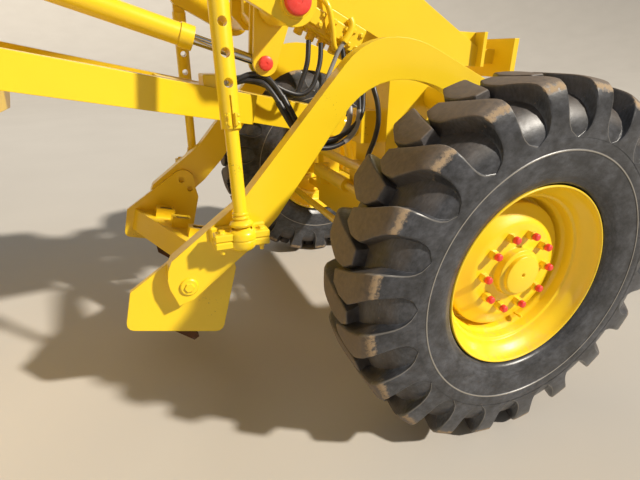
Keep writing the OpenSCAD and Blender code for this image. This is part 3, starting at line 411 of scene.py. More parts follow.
@dataclass(frozen=True)
class HoseRubber(Finish):
    """Extruded black rubber cover of hydraulic hose: soft grey sheen, fine cloth print."""

    name: str = "extruded_hose_rubber"
    colour: str = "#141416"
    bloom: str = "#3C3D40"

    def paint(self, tree: Any, where: Any) -> dict[str, Any]:
        """Adds the nodes: black with a grey bloom and a 2 mm cloth print.

        Args:
            tree: the material's node tree.
            where: outputs of its Texture Coordinate node.

        Returns:
            Value or output for each input of the shader that the finish sets.
        """
        bloom = add_node(tree, "ShaderNodeTexNoise", {
            "Vector": where["Object"], "Scale": 20.0, "Detail": 4.0})
        colour = add_node(tree, "ShaderNodeMix", {
            "Factor": bloom.outputs["Fac"], 6: linear(self.colour), 7: linear(self.bloom)},
            data_type="RGBA")
        cloth = add_node(tree, "ShaderNodeTexNoise", {
            "Vector": where["Object"], "Scale": 450.0, "Detail": 1.0})
        bump = add_node(tree, "ShaderNodeBump", {
            "Height": cloth.outputs["Fac"], "Strength": 0.3, "Distance": 0.0006})
        return {"Base Color": colour.outputs[2], "Normal": bump.outputs[0], "Roughness": 0.4,
                "IOR": 1.52}


@dataclass(frozen=True)
class HardChrome(Finish):
    """Hard chrome plate on ground rod: mirror gloss with fine turning marks and oil film."""

    name: str = "hard_chrome_plate"
    colour: str = "#C9CCD0"
    film: str = "#8F8A80"

    def paint(self, tree: Any, where: Any) -> dict[str, Any]:
        """Adds the nodes: chrome with an oil film in patches of 100 mm.

        Args:
            tree: the material's node tree.
            where: outputs of its Texture Coordinate node.

        Returns:
            Value or output for each input of the shader that the finish sets.
        """
        film = add_node(tree, "ShaderNodeTexNoise", {
            "Vector": where["Object"], "Scale": 10.0, "Detail": 5.0})
        laid = add_node(tree, "ShaderNodeMapRange", {
            "Value": film.outputs["Fac"], "From Min": 0.5, "From Max": 0.8, "To Max": 0.5})
        colour = add_node(tree, "ShaderNodeMix", {
            "Factor": laid.outputs[0], 6: linear(self.colour), 7: linear(self.film)},
            data_type="RGBA")
        rough = add_node(tree, "ShaderNodeMapRange", {
            "Value": laid.outputs[0], "To Min": 0.12, "To Max": 0.45})
        return {"Base Color": colour.outputs[2], "Roughness": rough.outputs[0], "Metallic": 1.0}


@dataclass(frozen=True)
class WornSteel(Finish):
    """Forged wear steel that works in the ground: brown rust, bright where it rubs."""

    name: str = "rusted_wear_steel"
    rust: str = "#6B4428"
    dark: str = "#35261D"
    bright: str = "#8C8781"

    def paint(self, tree: Any, where: Any) -> dict[str, Any]:
        """Adds the nodes: two rusts at 30 mm, bare steel in streaks.

        Args:
            tree: the material's node tree.
            where: outputs of its Texture Coordinate node.

        Returns:
            Value or output for each input of the shader that the finish sets.
        """
        place = where["Object"]
        mottle = add_node(tree, "ShaderNodeTexNoise", {"Vector": place, "Scale": 34.0,
                                                       "Detail": 8.0, "Roughness": 0.7})
        rust = add_node(tree, "ShaderNodeMix", {
            "Factor": mottle.outputs["Fac"], 6: linear(self.dark), 7: linear(self.rust)},
            data_type="RGBA")
        rub = add_node(tree, "ShaderNodeTexNoise", {"Vector": place, "Scale": 9.0, "Detail": 4.0})
        bare = add_node(tree, "ShaderNodeMapRange", {
            "Value": rub.outputs["Fac"], "From Min": 0.52, "From Max": 0.68})
        colour = add_node(tree, "ShaderNodeMix", {
            "Factor": bare.outputs[0], 6: rust.outputs[2], 7: linear(self.bright)},
            data_type="RGBA")
        rough = add_node(tree, "ShaderNodeMapRange", {
            "Value": bare.outputs[0], "To Min": 0.9, "To Max": 0.42})
        metal = add_node(tree, "ShaderNodeMapRange", {"Value": bare.outputs[0], "To Max": 0.9})
        bump = add_node(tree, "ShaderNodeBump", {
            "Height": mottle.outputs["Fac"], "Strength": 0.5, "Distance": 0.002})
        return {"Base Color": colour.outputs[2], "Roughness": rough.outputs[0],
                "Metallic": metal.outputs[0], "Normal": bump.outputs[0]}


@dataclass(frozen=True)
class CabGlass(Finish):
    """Tempered safety glass, float made: clear, faint green, with a film of dust."""

    name: str = "tempered_cab_glass"
    tint: str = "#CFE0DC"

    def paint(self, tree: Any, where: Any) -> dict[str, Any]:
        """Adds the nodes: tinted glass whose dust film makes it a little rough.

        Args:
            tree: the material's node tree.
            where: outputs of its Texture Coordinate node.

        Returns:
            Value or output for each input of the shader that the finish sets.
        """
        film = add_node(tree, "ShaderNodeTexNoise", {
            "Vector": where["Object"], "Scale": 6.0, "Detail": 5.0})
        rough = add_node(tree, "ShaderNodeMapRange", {
            "Value": film.outputs["Fac"], "From Min": 0.45, "From Max": 0.8,
            "To Min": 0.02, "To Max": 0.18})
        return {"Base Color": linear(self.tint), "Roughness": rough.outputs[0], "IOR": 1.5,
                "Transmission Weight": 1.0}


@dataclass(frozen=True)
class SeatVinyl(Finish):
    """Black vinyl and moulded trim in the cab: leather grain pressed in at 3 mm."""

    name: str = "embossed_seat_vinyl"
    colour: str = "#1E1F21"
    worn: str = "#333438"

    def paint(self, tree: Any, where: Any) -> dict[str, Any]:
        """Adds the nodes: black with wear patches and pressed grain.

        Args:
            tree: the material's node tree.
            where: outputs of its Texture Coordinate node.

        Returns:
            Value or output for each input of the shader that the finish sets.
        """
        wear = add_node(tree, "ShaderNodeTexNoise", {
            "Vector": where["Object"], "Scale": 8.0, "Detail": 3.0})
        colour = add_node(tree, "ShaderNodeMix", {
            "Factor": wear.outputs["Fac"], 6: linear(self.colour), 7: linear(self.worn)},
            data_type="RGBA")
        grain = add_node(tree, "ShaderNodeTexVoronoi", {
            "Vector": where["Object"], "Scale": 330.0}, feature="DISTANCE_TO_EDGE")
        bump = add_node(tree, "ShaderNodeBump", {
            "Height": grain.outputs["Distance"], "Strength": 0.4, "Distance": 0.0008})
        return {"Base Color": colour.outputs[2], "Normal": bump.outputs[0], "Roughness": 0.5}


@dataclass(frozen=True)
class FloorScreed(Finish):
    """Pale poured floor: nearly even, with cloudy trowel marks a metre across."""

    name: str = "pale_poured_floor"
    pale: str = "#C6C1B9"
    grey: str = "#BBB6AE"

    def paint(self, tree: Any, where: Any) -> dict[str, Any]:
        """Adds the nodes: two pale greys in clouds.

        Args:
            tree: the material's node tree.
            where: outputs of its Texture Coordinate node.

        Returns:
            Value or output for each input of the shader that the finish sets.
        """
        cloud = add_node(tree, "ShaderNodeTexNoise", {
            "Vector": where["Object"], "Scale": 0.9, "Detail": 5.0})
        colour = add_node(tree, "ShaderNodeMix", {
            "Factor": cloud.outputs["Fac"], 6: linear(self.grey), 7: linear(self.pale)},
            data_type="RGBA")
        return {"Base Color": colour.outputs[2], "Roughness": 0.75}


ENAMEL = SprayedEnamel()
BLACK = BlackEnamel()
CAP = MouldedCap()
TYRE = TyreRubber()
HOSE = HoseRubber()
SLEEVE = HoseRubber("woven_hose_sleeve", "#0E0E10", "#1E1F22")
# the grey of the valve's hose; laid over a stretch of two black hose loops it is their painted sheen
GREY = HoseRubber("grey_hose_sleeve", "#77777A", "#9FA0A2")
CHROME = HardChrome()
STEEL = WornSteel()
GLASS = CabGlass()
# a clear lens over a bright reflector, drawn as one bright surface
LENS = HardChrome("lamp_lens", "#E9ECEF", "#D9DADB")
VINYL = SeatVinyl()
FLOOR = FloorScreed()


# Mesh making


@dataclass
class Shell:
    """Points and faces of one piece while it is made, with a dirt colour at each point."""

    points: list[Vector] = field(default_factory=list)
    faces: list[tuple[int, ...]] = field(default_factory=list)
    dirt: list[tuple[float, float, float]] = field(default_factory=list)

    def grid(self, rows: Sequence[Sequence[Vector]], around: bool = False,
             dirt: Sequence[Sequence[tuple[float, float, float]]] | None = None) -> None:
        """Adds a sheet of quads.

        Args:
            rows: rows of points, all of one length.
            around: whether the last row joins the first.
            dirt: dirt colour of each point.
        """
        start, wide = len(self.points), len(rows[0])
        for j, row in enumerate(rows):
            self.points.extend(row)
            self.dirt.extend(dirt[j] if dirt else [CLEAN] * wide)
        for j in range(len(rows) if around else len(rows) - 1):
            a, b = start + j * wide, start + ((j + 1) % len(rows)) * wide
            for i in range(wide - 1):
                self.faces.append((a + i, a + i + 1, b + i + 1, b + i))

    def lathe(self, profile: Sequence[tuple[float, float]], at: Matrix = Matrix.Identity(4),
              turns: int = 32) -> None:
        """Adds a turned shape about +Z of a placement.

        Args:
            profile: radius and height of each point, in mm; ends on the axis close the shape.
            at: placement of the shape's own axes.
            turns: number of steps round the axis.
        """
        rows = []
        for i in range(turns):
            a = 2 * math.pi * i / turns
            rows.append([at @ Vector((r * math.cos(a), r * math.sin(a), z))
                         for r, z in ((p[0] / 1000, p[1] / 1000) for p in profile)])
        self.grid(rows, around=True)

    def block(self, low: Vector, high: Vector, at: Matrix, bevel: float = 0.003) -> None:
        """Adds a block with chamfered edges.

        Args:
            low: its lowest corner, in metres.
            high: its highest corner.
            at: placement of the block's own axes.
            bevel: width of the chamfer.
        """
        corner = {}
        for x, y, z, axis in product((0, 1), (0, 1), (0, 1), range(3)):
            p = Vector([(low, high)[k][i] for i, k in enumerate((x, y, z))])
            for i, k in enumerate((x, y, z)):
                if i != axis:
                    p[i] += bevel * (1 - 2 * k)
            corner[x, y, z, axis] = len(self.points)
            self.points.append(at @ p)
            self.dirt.append(CLEAN)
        for bits in product((0, 1), repeat=3):
            self.faces.append(tuple(corner[(*bits, axis)] for axis in range(3)))
        for axis in range(3):
            u, v = (axis + 1) % 3, (axis + 2) % 3
            spots = {}
            for k, a, b in product((0, 1), repeat=3):
                bits = [0, 0, 0]
                bits[axis], bits[u], bits[v] = k, a, b
                spots[k, a, b] = bits
            for k in (0, 1):
                self.faces.append(tuple(corner[(*spots[k, a, b], axis)]
                                        for a, b in ((0, 0), (1, 0), (1, 1), (0, 1))))
            for a, b in product((0, 1), repeat=2):
                first, last = spots[0, a, b], spots[1, a, b]
                self.faces.append((corner[(*first, u)], corner[(*first, v)],
                                   corner[(*last, v)], corner[(*last, u)]))

    def take(self, other: "Shell", at: Matrix) -> None:
        """Adds a copy of another shape.

        Args:
            other: the shape.
            at: placement of the copy.
        """
        start = len(self.points)
        self.points += [at @ p for p in other.points]
        self.dirt += other.dirt
        self.faces += [tuple(start + k for k in face) for face in other.faces]

    def piece(self, name: str, finish: Finish,
              crease: float = PLATE_CREASE) -> bpy.types.Object:
        """Makes the object, merged, with its faces outwards and smooth up to a crease.

        Args:
            name: the object's name.
            finish: its finish.
            crease: angle in degrees past which an edge stays sharp.

        Returns:
            The new object, at the origin.
        """
        mesh = bpy.data.meshes.new(name)
        mesh.from_pydata([tuple(p) for p in self.points], [], self.faces)
        if any(any(d) for d in self.dirt):
            layer = mesh.color_attributes.new("dirt", "FLOAT_COLOR", "POINT")
            for item, d in zip(layer.data, self.dirt):
                item.color = (*d, 1.0)
        tidy(mesh, crease)
        mesh.materials.append(finish.material())
        return new_object(name, mesh)


def new_object(name: str, data: Any) -> bpy.types.Object:
    """Makes an object and links it to the scene.

    Args:
        name: its name.
        data: its mesh, light or camera.

    Returns:
        The new object, at the origin.
    """
    made = bpy.data.objects.new(name, data)
    bpy.context.scene.collection.objects.link(made)
    return made


def tidy(mesh: bpy.types.Mesh, crease: float) -> None:
    """Merges a mesh's doubles, turns its faces outwards and smooths it up to a crease.

    Args:
        mesh: the mesh.
        crease: angle in degrees past which an edge stays sharp.
    """
    shape = bmesh.new()
    shape.from_mesh(mesh)
    bmesh.ops.remove_doubles(shape, verts=shape.verts, dist=1e-5)
    bmesh.ops.dissolve_degenerate(shape, edges=shape.edges, dist=1e-6)
    bmesh.ops.recalc_face_normals(shape, faces=shape.faces)
    shape.to_mesh(mesh)
    shape.free()
    mesh.shade_smooth()
    mesh.set_sharp_from_angle(angle=math.radians(crease))


def settle(piece: bpy.types.Object, *helpers: bpy.types.Object) -> bpy.types.Object:
    """Turns a piece's modifiers into a plain mesh.

    Args:
        piece: the object with its modifiers.
        helpers: objects that the modifiers used, which are removed.

    Returns:
        The piece, with no modifier left.
    """
    graph = bpy.context.evaluated_depsgraph_get()
    mesh = bpy.data.meshes.new_from_object(piece.evaluated_get(graph), depsgraph=graph)
    piece.modifiers.clear()
    piece.data = mesh
    for helper in helpers:
        bpy.data.objects.remove(helper)
    return piece


def hand_over(piece: bpy.types.Object, body: str, slot: str, *nodes: str) -> None:
    """Makes a finished piece ride on its body.

    Args:
        piece: the finished object.
        body: the CAD body it rides on.
        slot: not used.
        nodes: CAD nodes it stands for.
    """
    if nodes:
        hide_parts(*nodes)
    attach(piece, body)
    log.info("%s: %d faces, rides on %s", piece.name, len(piece.data.polygons), body)


# Repeats


def new_tree(name: str, sockets: Sequence[tuple[str, str, Any]]) -> tuple[Any, Any, Any]:
    """Starts a Geometry Nodes tree.

    Args:
        name: the tree's name.
        sockets: name, socket type and first value of each input after the geometry.

    Returns:
        The tree, the outputs of its input node, and its output node.
    """
    tree = bpy.data.node_groups.new(name, "GeometryNodeTree")
    tree.interface.new_socket("Geometry", in_out="INPUT", socket_type="NodeSocketGeometry")
    for label, kind, value in sockets:
        socket = tree.interface.new_socket(label, in_out="INPUT", socket_type=kind)
        if value is not None:
            socket.default_value = value
    tree.interface.new_socket("Geometry", in_out="OUTPUT", socket_type="NodeSocketGeometry")
    return tree, add_node(tree, "NodeGroupInput").outputs, add_node(tree, "NodeGroupOutput")


def end_tree(tree: Any, given: Any, geometry: Any, out: Any) -> None:
    """Ends a tree: makes its instances real and sets its material.

    Args:
        tree: the node tree.
        given: outputs of its input node.
        geometry: the last output of geometry.
        out: its output node.
    """
    real = add_node(tree, "GeometryNodeRealizeInstances", {"Geometry": geometry})
    done = add_node(tree, "GeometryNodeSetMaterial", {
        "Geometry": real.outputs[0], "Material": given["Finish"]})
    tree.links.new(done.outputs[0], out.inputs["Geometry"])


def ring_tree() -> Any:
    """Builds the tree that repeats one shape round a wheel's axle, or returns it.

    Returns:
        The node tree, with inputs Shape, Count, Centre and Finish.
    """
    found = bpy.data.node_groups.get("shape_round_axle")
    if found:
        return found
    tree, given, out = new_tree("shape_round_axle", [
        ("Shape", "NodeSocketObject", None), ("Count", "NodeSocketInt", 20),
        ("Centre", "NodeSocketVector", (0.0, 0.0, 0.0)), ("Finish", "NodeSocketMaterial", None)])
    shape = add_node(tree, "GeometryNodeObjectInfo", {"Object": given["Shape"]},
                     transform_space="ORIGINAL")
    points = add_node(tree, "GeometryNodePoints", {
        "Count": given["Count"], "Position": given["Centre"]})
    number = add_node(tree, "GeometryNodeInputIndex")
    step = add_node(tree, "ShaderNodeMath", {0: 2 * math.pi, 1: given["Count"]},
                    operation="DIVIDE")
    turn = add_node(tree, "ShaderNodeMath", {0: number.outputs[0], 1: step.outputs[0]},
                    operation="MULTIPLY")
    about = add_node(tree, "ShaderNodeCombineXYZ", {"Y": turn.outputs[0]})
    stood = add_node(tree, "GeometryNodeInstanceOnPoints", {
        "Points": points.outputs[0], "Instance": shape.outputs["Geometry"],
        "Rotation": about.outputs[0]})
    joined = add_node(tree, "GeometryNodeJoinGeometry", {"Geometry": stood.outputs[0]})
    tree.links.new(given["Geometry"], joined.inputs["Geometry"])
    end_tree(tree, given, joined.outputs[0], out)
    return tree


def scatter_tree() -> Any:
    """Builds the tree that stands one shape at each point along its "aim", or returns it.

    Returns:
        The node tree, with inputs Shape, Size and Finish.
    """
    found = bpy.data.node_groups.get("shape_at_places")
    if found:
        return found
    tree, given, out = new_tree("shape_at_places", [
        ("Shape", "NodeSocketObject", None), ("Size", "NodeSocketFloat", 1.0),
        ("Finish", "NodeSocketMaterial", None)])
    shape = add_node(tree, "GeometryNodeObjectInfo", {"Object": given["Shape"]},
                     transform_space="ORIGINAL")
    aim = add_node(tree, "GeometryNodeInputNamedAttribute", {"Name": "aim"},
                   data_type="FLOAT_VECTOR")
    turn = add_node(tree, "FunctionNodeAlignRotationToVector", {
        "Vector": aim.outputs["Attribute"]}, axis="Z")
    stood = add_node(tree, "GeometryNodeInstanceOnPoints", {
        "Points": given["Geometry"], "Instance": shape.outputs["Geometry"],
        "Rotation": turn.outputs[0], "Scale": given["Size"]})
    end_tree(tree, given, stood.outputs[0], out)
    return tree


def path_tree() -> Any:
    """Builds the tree that sweeps a round section along a piece's edges, or returns it.

    Returns:
        The node tree, with inputs Radius, Sides and Finish.
    """
    found = bpy.data.node_groups.get("round_along_path")
    if found:
        return found
    tree, given, out = new_tree("round_along_path", [
        ("Radius", "NodeSocketFloat", 0.014), ("Sides", "NodeSocketInt", 14),
        ("Finish", "NodeSocketMaterial", None)])
    line = add_node(tree, "GeometryNodeMeshToCurve", {"Mesh": given["Geometry"]})
    section = add_node(tree, "GeometryNodeCurvePrimitiveCircle", {
        "Resolution": given["Sides"], "Radius": given["Radius"]})
    swept = add_node(tree, "GeometryNodeCurveToMesh", {
        "Curve": line.outputs[0], "Profile Curve": section.outputs["Curve"], "Fill Caps": True})
    end_tree(tree, given, swept.outputs[0], out)
    return tree


def run_tree(piece: bpy.types.Object, tree: Any, **values: Any) -> None:
    """Puts a tree on a piece, its inputs set by socket identifier.

    Args:
        piece: the object.
        tree: the node tree.
        values: value of each input by its name.
    """
    modifier = piece.modifiers.new(tree.name, "NODES")
    modifier.node_group = tree
    for item in tree.interface.items_tree:
        if item.in_out == "INPUT" and item.name in values:
            modifier[item.identifier] = values[item.name]


def scatter(name: str, shape: Shell, places: Sequence[tuple[Vector, Vector]],
            finish: Finish) -> bpy.types.Object:
    """Stands one shape at several places.

    Args:
        name: name of the piece.
        shape: the shape, made about the origin with +Z outwards.
        places: foot and outward direction of each one.
        finish: its finish.

    Returns:
        The piece, a plain mesh.
    """
    pattern = shape.piece(name + "_pattern", finish)
    mesh = bpy.data.meshes.new(name)
    mesh.from_pydata([tuple(p) for p, _ in places], [], [])
    aim = mesh.attributes.new("aim", "FLOAT_VECTOR", "POINT")
    for item, (_, way) in zip(aim.data, places):
        item.vector = way.normalized()
    piece = new_object(name, mesh)
    run_tree(piece, scatter_tree(), Shape=pattern, Size=1.0, Finish=finish.material())
    return settle(piece, pattern)


def smooth(points: Sequence[Point], steps: int = 6) -> list[Vector]:
    """Lays a smooth line through given points.

    Args:
        points: places in the front axle's frame, in mm.
        steps: steps from each point to the next.

    Returns:
        Points of the line, in metres in the part's frame.
    """
    held = [at_axle(*p) for p in points]
    ends = [held[0] * 2 - held[1], *held, held[-1] * 2 - held[-2]]
    line = []
    for a, b, c, d in zip(ends, ends[1:], ends[2:], ends[3:]):
        for k in range(steps):
            t = k / steps
            line.append((b * 2 + (c - a) * t + (a * 2 - b * 5 + c * 4 - d) * t ** 2
                         + (b * 3 - a - c * 3 + d) * t ** 3) / 2)
    return [*line, held[-1]]


def sweep(name: str, lines: Sequence[Sequence[Vector]], radius: float,
          finish: Finish) -> bpy.types.Object:
    """Sweeps a round section along several lines.

    Args:
        name: name of the piece.
        lines: points of each line, in metres.
        radius: radius of the section, in mm.
        finish: its finish.

    Returns:
        The piece, a plain mesh.
    """
    points = [tuple(p) for line in lines for p in line]
    edges, start = [], 0
    for line in lines:
        edges += [(start + i, start + i + 1) for i in range(len(line) - 1)]
        start += len(line)
    mesh = bpy.data.meshes.new(name)
    mesh.from_pydata(points, edges, [])
    piece = new_object(name, mesh)
    run_tree(piece, path_tree(), Radius=radius / 1000, Sides=14, Finish=finish.material())
    settle(piece)
    tidy(piece.data, HOSE_CREASE)
    return piece


def hex_head(across: float, height: float, washer: float = 3.0) -> Shell:
    """Makes the shape of a hexagon bolt head on its washer, with +Z outwards.

    Args:
        across: its width across flats, mm.
        height: its height from the foot of the washer, mm.
        washer: the washer's thickness, mm.

    Returns:
        The shape, about the origin.
    """
    shape = Shell()
    r = across / 2 / math.cos(math.pi / 6)
    shape.lathe([(0, height), (r * 0.9, height), (r, height * 0.82), (r, 0), (0, 0)], turns=6)
    shape.lathe([(0, washer), (r * 1.3, washer), (r * 1.38, 0), (r * 1.38, -1), (0, -1)],
                turns=20)
    return shape


def facing(spot: Vector, way: Vector) -> Matrix:
    """Returns the placement at a spot, in metres, whose +Z points along a direction."""
    return Matrix.Translation(spot) @ way.to_track_quat("Z", "Y").to_matrix().to_4x4()


# Wheels


@dataclass
class Wheel:
    """What the pieces of one wheel share: its axle and its side."""

    axle: Axle
    side: Side

    @property
    def where(self) -> str:
        """The wheel as it stands in the names of its nodes and its body."""
        return f"{self.axle.name.lower()}_{self.side.where}"

    @property
    def centre(self) -> Vector:
        """Middle of the wheel."""
        return Vector((AXLE_X + self.axle.value, self.side.value * WHEEL_Y, HUB_Z))

    def add(self, piece: bpy.types.Object, slot: str, *nodes: str) -> None:
        """Makes a piece ride on the wheel.

        Args:
            piece: the finished object.
            slot: name of a material slot, passed on to hand_over.
            nodes: CAD nodes it stands for.
        """
        hand_over(piece, f"wheel_{self.where}", slot, *nodes)


@dataclass
class Tyre(Wheel):
    """One tyre: a turned carcass with a row of slanted lugs on each side of its crown.

    Sizes are in mm. Angles are degrees round the axle, from the top towards the front.
    """

    radius: float = 685.0
    lugs: int = 20
    turns: int = 120
    # Half section outside between the lugs: distance from the middle plane and radius.
    floor: Profile = (
        (0, 637), (40, 637), (80, 634), (112, 626), (136, 612), (156, 590), (172, 560),
        (182, 532), (186.5, 508),
    )
    # From the widest place in to the bead under the rim's flange, then back along the inside.
    wall: Profile = (
        (187.5, 500), (186.5, 484), (184.5, 472), (186.0, 469.5), (186.0, 466.5), (183.5, 464),
        (181, 440), (175.5, 405), (170, 388), (166, 378), (161, 372), (157, 362), (150.5, 355),
        (143, 351.5), (137.5, 350.2), (128, 349.5), (112, 345), (100, 334), (92, 318), (84, 306.5),
        (62, 306.5), (62, 318), (100, 356), (153, 430), (153, 560), (97, 619), (0, 625),
    )
    # Outer surface over the lugs, sampled at the same steps as the floor.
    crown: Profile = (
        (0, 685), (60, 685), (104, 684.5), (130, 682), (149, 676), (164, 660), (176, 630),
        (184.5, 585), (187.3, 540), (187.5, 508),
    )
    # Edges of a lug: distance from the middle plane, angle of its lower and upper edge.
    edges: tuple[Point, ...] = (
        (-52, 2.6, 6.6), (-30, 1.2, 7.3), (-8, 0.2, 7.9), (20, -0.1, 8.6), (58, 0.0, 9.6),
        (100, 2.3, 11.0), (140, 4.6, 12.4), (187, 7.3, 13.9),
    )
    # A lug's flank from its foot up: share of its height and mm beyond its edge.
    flank: Profile = ((-0.06, 13.0), (0.10, 8.5), (0.30, 5.5), (0.70, 3.0), (0.90, 1.0),
                      (0.98, -2.5), (1.0, -7.5))
    # Shares of the crown's length where a lug is cut across.
    cuts: tuple[float, ...] = (-0.02, 0.02, 0.06, 0.11, 0.17, 0.22, 0.27, 0.32, 0.37, 0.41, 0.45,
                               0.49, 0.53, 0.58, 0.64, 0.70, 0.76, 0.82, 0.88, 0.94, 1.0)
    # Where the flanks begin to spread, over what share, and by how many degrees, early and late.
    spread_from: float = 0.66
    spread_over: float = 0.34
    spread_by: tuple[float, float] = (2.9, 2.3)
    # Share and half width of the earth on the shoulder; share and fade of the dust on the tread.
    earth: tuple[float, float] = (0.53, 0.13)
    dust: tuple[float, float] = (0.55, 0.08)

    def spot(self, across: float, radius: float, angle: float) -> Vector:
        """Finds a place on the tyre about its centre.

        Args:
            across: distance outboard of the middle plane, mm.
            radius: distance from the axle, mm.
            angle: degrees from the top towards the front.

        Returns:
            The place, in metres from the wheel's centre.
        """
        a = math.radians(angle)
        return Vector((math.sin(a) * radius, self.side.value * across,
                       math.cos(a) * radius)) / 1000

    @staticmethod
    def along(line: Sequence[tuple[float, float]], share: float) -> tuple[float, float]:
        """Finds the point at a share of a line's length.

        Args:
            line: the line's points.
            share: from 0 to 1.

        Returns:
            The point.
        """
        steps = [math.dist(a, b) for a, b in zip(line, line[1:])]
        left = max(0.0, min(1.0, share)) * sum(steps)
        for (a, b), step in zip(zip(line, line[1:]), steps):
            if left <= step:
                t = left / step
                return a[0] + (b[0] - a[0]) * t, a[1] + (b[1] - a[1]) * t
            left -= step
        return line[-1]

    def edge_at(self, across: float) -> tuple[float, float]:
        """Finds where a lug's lower and upper edge run.

        Args:
            across: distance from the middle plane, mm.

        Returns:
            Angles of the lower and the upper edge, degrees.
        """
        for a, b in zip(self.edges, self.edges[1:]):
            if across <= b[0]:
                t = max(0.0, (across - a[0]) / (b[0] - a[0]))
                return a[1] + (b[1] - a[1]) * t, a[2] + (b[2] - a[2]) * t
        return self.edges[-1][1], self.edges[-1][2]

    def lug(self, shell: Shell, row: int, lead: float) -> None:
        """Adds one lug: a blanket over its top, its flanks and its inner end.

        Args:
            shell: where it goes.
            row: 1 for the outboard row, -1 for the inboard one.
            lead: its angle round the axle, degrees.
        """
        length = sum(math.dist(a, b) for a, b in zip(self.crown, self.crown[1:]))
        per_mm = math.degrees(1 / self.radius)
        # run along the crown from the middle plane, and how high the lug stands there
        inner = [(self.edges[0][0] - beyond, height) for height, beyond in self.flank]
        outer = [(share * length, 1.0) for share in self.cuts]
        rows, dirt = [], []
        for run, cap in inner + outer:
            share = abs(run) / length
            top, low = self.along(self.crown, share), self.along(self.floor, share)
            sign = -1 if run < 0 else 1
            across = top[0] * sign
            lower, upper = self.edge_at(min(across, self.edges[-1][0]) if run > 0 else run)
            # past the shoulder the flanks spread until the lugs meet and end the pocket
            part = max(0.0, (share - self.spread_from) / self.spread_over)
            spread = self.spread_by[0] * part ** 3 + self.spread_by[1] * part ** 8
            lower, upper = lower - spread, upper + spread
            line, marks = [], []
            slots = [(h, -g, lower) for h, g in self.flank]
            inset = -self.flank[-1][1]
            width = upper - lower - 2 * inset * per_mm
            for t in (0.25, 0.5, 0.75):
                slots.append((1.0, inset + t * width / per_mm, lower))
            slots += [(h, g, upper) for h, g in reversed(self.flank)]
            for k, (height, beyond, base) in enumerate(slots):
                h = min(height, cap)
                angle = base + beyond * per_mm
                spot = (low[0] + (top[0] - low[0]) * h, low[1] + (top[1] - low[1]) * h)
                line.append(self.spot(row * sign * spot[0], spot[1], lead + angle))
                # ground dust on the tread, earth on the shoulder, a pale rubbed edge
                shoulder = max(0.0, 1 - abs(share - self.earth[0]) / self.earth[1])
                tread = max(0.0, min(1.0, (self.dust[0] - share) / self.dust[1]))
                if run <= 0:
                    shoulder, tread = 0.0, 1.0
                on_top = 1.0 if h > 0.95 else 0.25
                rim = 1.0 if 0.88 < height < 0.99 and k > len(self.flank) and share > 0.4 else 0.0
                marks.append((on_top * tread, shoulder * (0.6 + 0.4 * (h > 0.9)), rim * 0.55))
            rows.append(line)
            dirt.append(marks)
        shell.grid(rows, dirt=dirt)

    def pitch(self) -> Shell:
        """Makes one step of the tread: an outboard lug and the inboard lug half a step on.

        Returns:
            The shape, about the wheel's centre.
        """
        shell = Shell()
        self.lug(shell, 1, 0.0)
        self.lug(shell, -1, 180 / self.lugs)
        return shell

    def carcass(self) -> Shell:
        """Turns the body: the floor between the lugs, sidewalls, beads and inside.

        Returns:
            The shape, about the wheel's centre.
        """
        half = list(self.floor) + list(self.wall)
        loop = [(-w, r) for w, r in reversed(half)] + half[1:]
        rows, dirt = [], []
        for i in range(self.turns):
            angle = 360 * i / self.turns
            rows.append([self.spot(w, r, angle) for w, r in loop])
            # a little dust between the lugs, earth at their feet, a pale line from the mould
            dirt.append([(0.30 if r > 580 else 0.0,
                          0.55 if 600 < r < 630 and abs(w) > 120 else 0.0,
                          0.9 if 465 < r < 471 else 0.0) for w, r in loop])
        shell = Shell()
        shell.grid(rows, around=True, dirt=dirt)
        return shell

    def build(self) -> None:
        """Makes the tyre, one mesh that stands for its CAD node."""
        pattern = self.pitch().piece(f"tread_pitch_{self.where}", TYRE, TURNED_CREASE)
        body = self.carcass().piece(f"tyre_with_lugs_{self.where}", TYRE, TURNED_CREASE)
        body.data.transform(Matrix.Translation(self.centre))
        run_tree(body, ring_tree(), Shape=pattern, Count=self.lugs, Centre=self.centre,
                 Finish=TYRE.material())
        self.add(settle(body, pattern), "tyre", f"tyre_{self.where}")


@dataclass
class WheelTrim(Wheel):
    """Wheel nuts under red caps, and the tyre's valve. Sizes in mm."""

    nuts: int = 10
    circle: float = 145.0
    nut_end: float = 95.0
    # The stem stands forward of the wheel's lowest point and leans to the axle.
    stem_angle: float = -66.0
    stem_circle: float = 262.0
    stem_foot: float = -16.0
    stem_lean: float = -0.12

    def build(self) -> None:
        """Makes the caps, the nuts and the valve."""
        s = self.side.value
        cap, nut, stem = Shell(), Shell(), Shell()
        cap.lathe([(0, 9), (7, 8.6), (11, 7.4), (13, 5), (13.8, 0), (13.8, -8), (12, -8.5)],
                  turns=20)
        nut.lathe([(0, -6), (9, -6), (9, -12), (15.5, -12), (17.5, -15), (17.5, -36), (0, -36)],
                  turns=6)
        # the CAD rim's first nut lies along its own +X, which points forwards or back
        turn = math.pi if s > 0 else 0.0
        places = []
        for i in range(self.nuts):
            a = turn + 2 * math.pi * i / self.nuts
            places.append((self.centre + Vector((
                math.cos(a) * self.circle, s * self.nut_end, math.sin(a) * self.circle)) / 1000,
                self.side.out))
        self.add(scatter(f"nut_caps_{self.where}", cap, places, CAP), "trim")
        self.add(scatter(f"wheel_nuts_{self.where}", nut, places, ENAMEL), "paint")
        a = math.radians(self.stem_angle)
        foot = self.centre + Vector((math.cos(a) * self.stem_circle, s * self.stem_foot,
                                     math.sin(a) * self.stem_circle)) / 1000
        way = Vector((math.cos(a) * self.stem_lean, s, math.sin(a) * self.stem_lean))
        stem.lathe([(0, 72), (5, 72), (6, 70), (6, 56), (4.5, 54), (4.5, 20), (8, 16), (8, 0),
                    (0, 0)], facing(foot, way), 16)
        self.add(stem.piece(f"valve_{self.where}", ENAMEL), "paint")


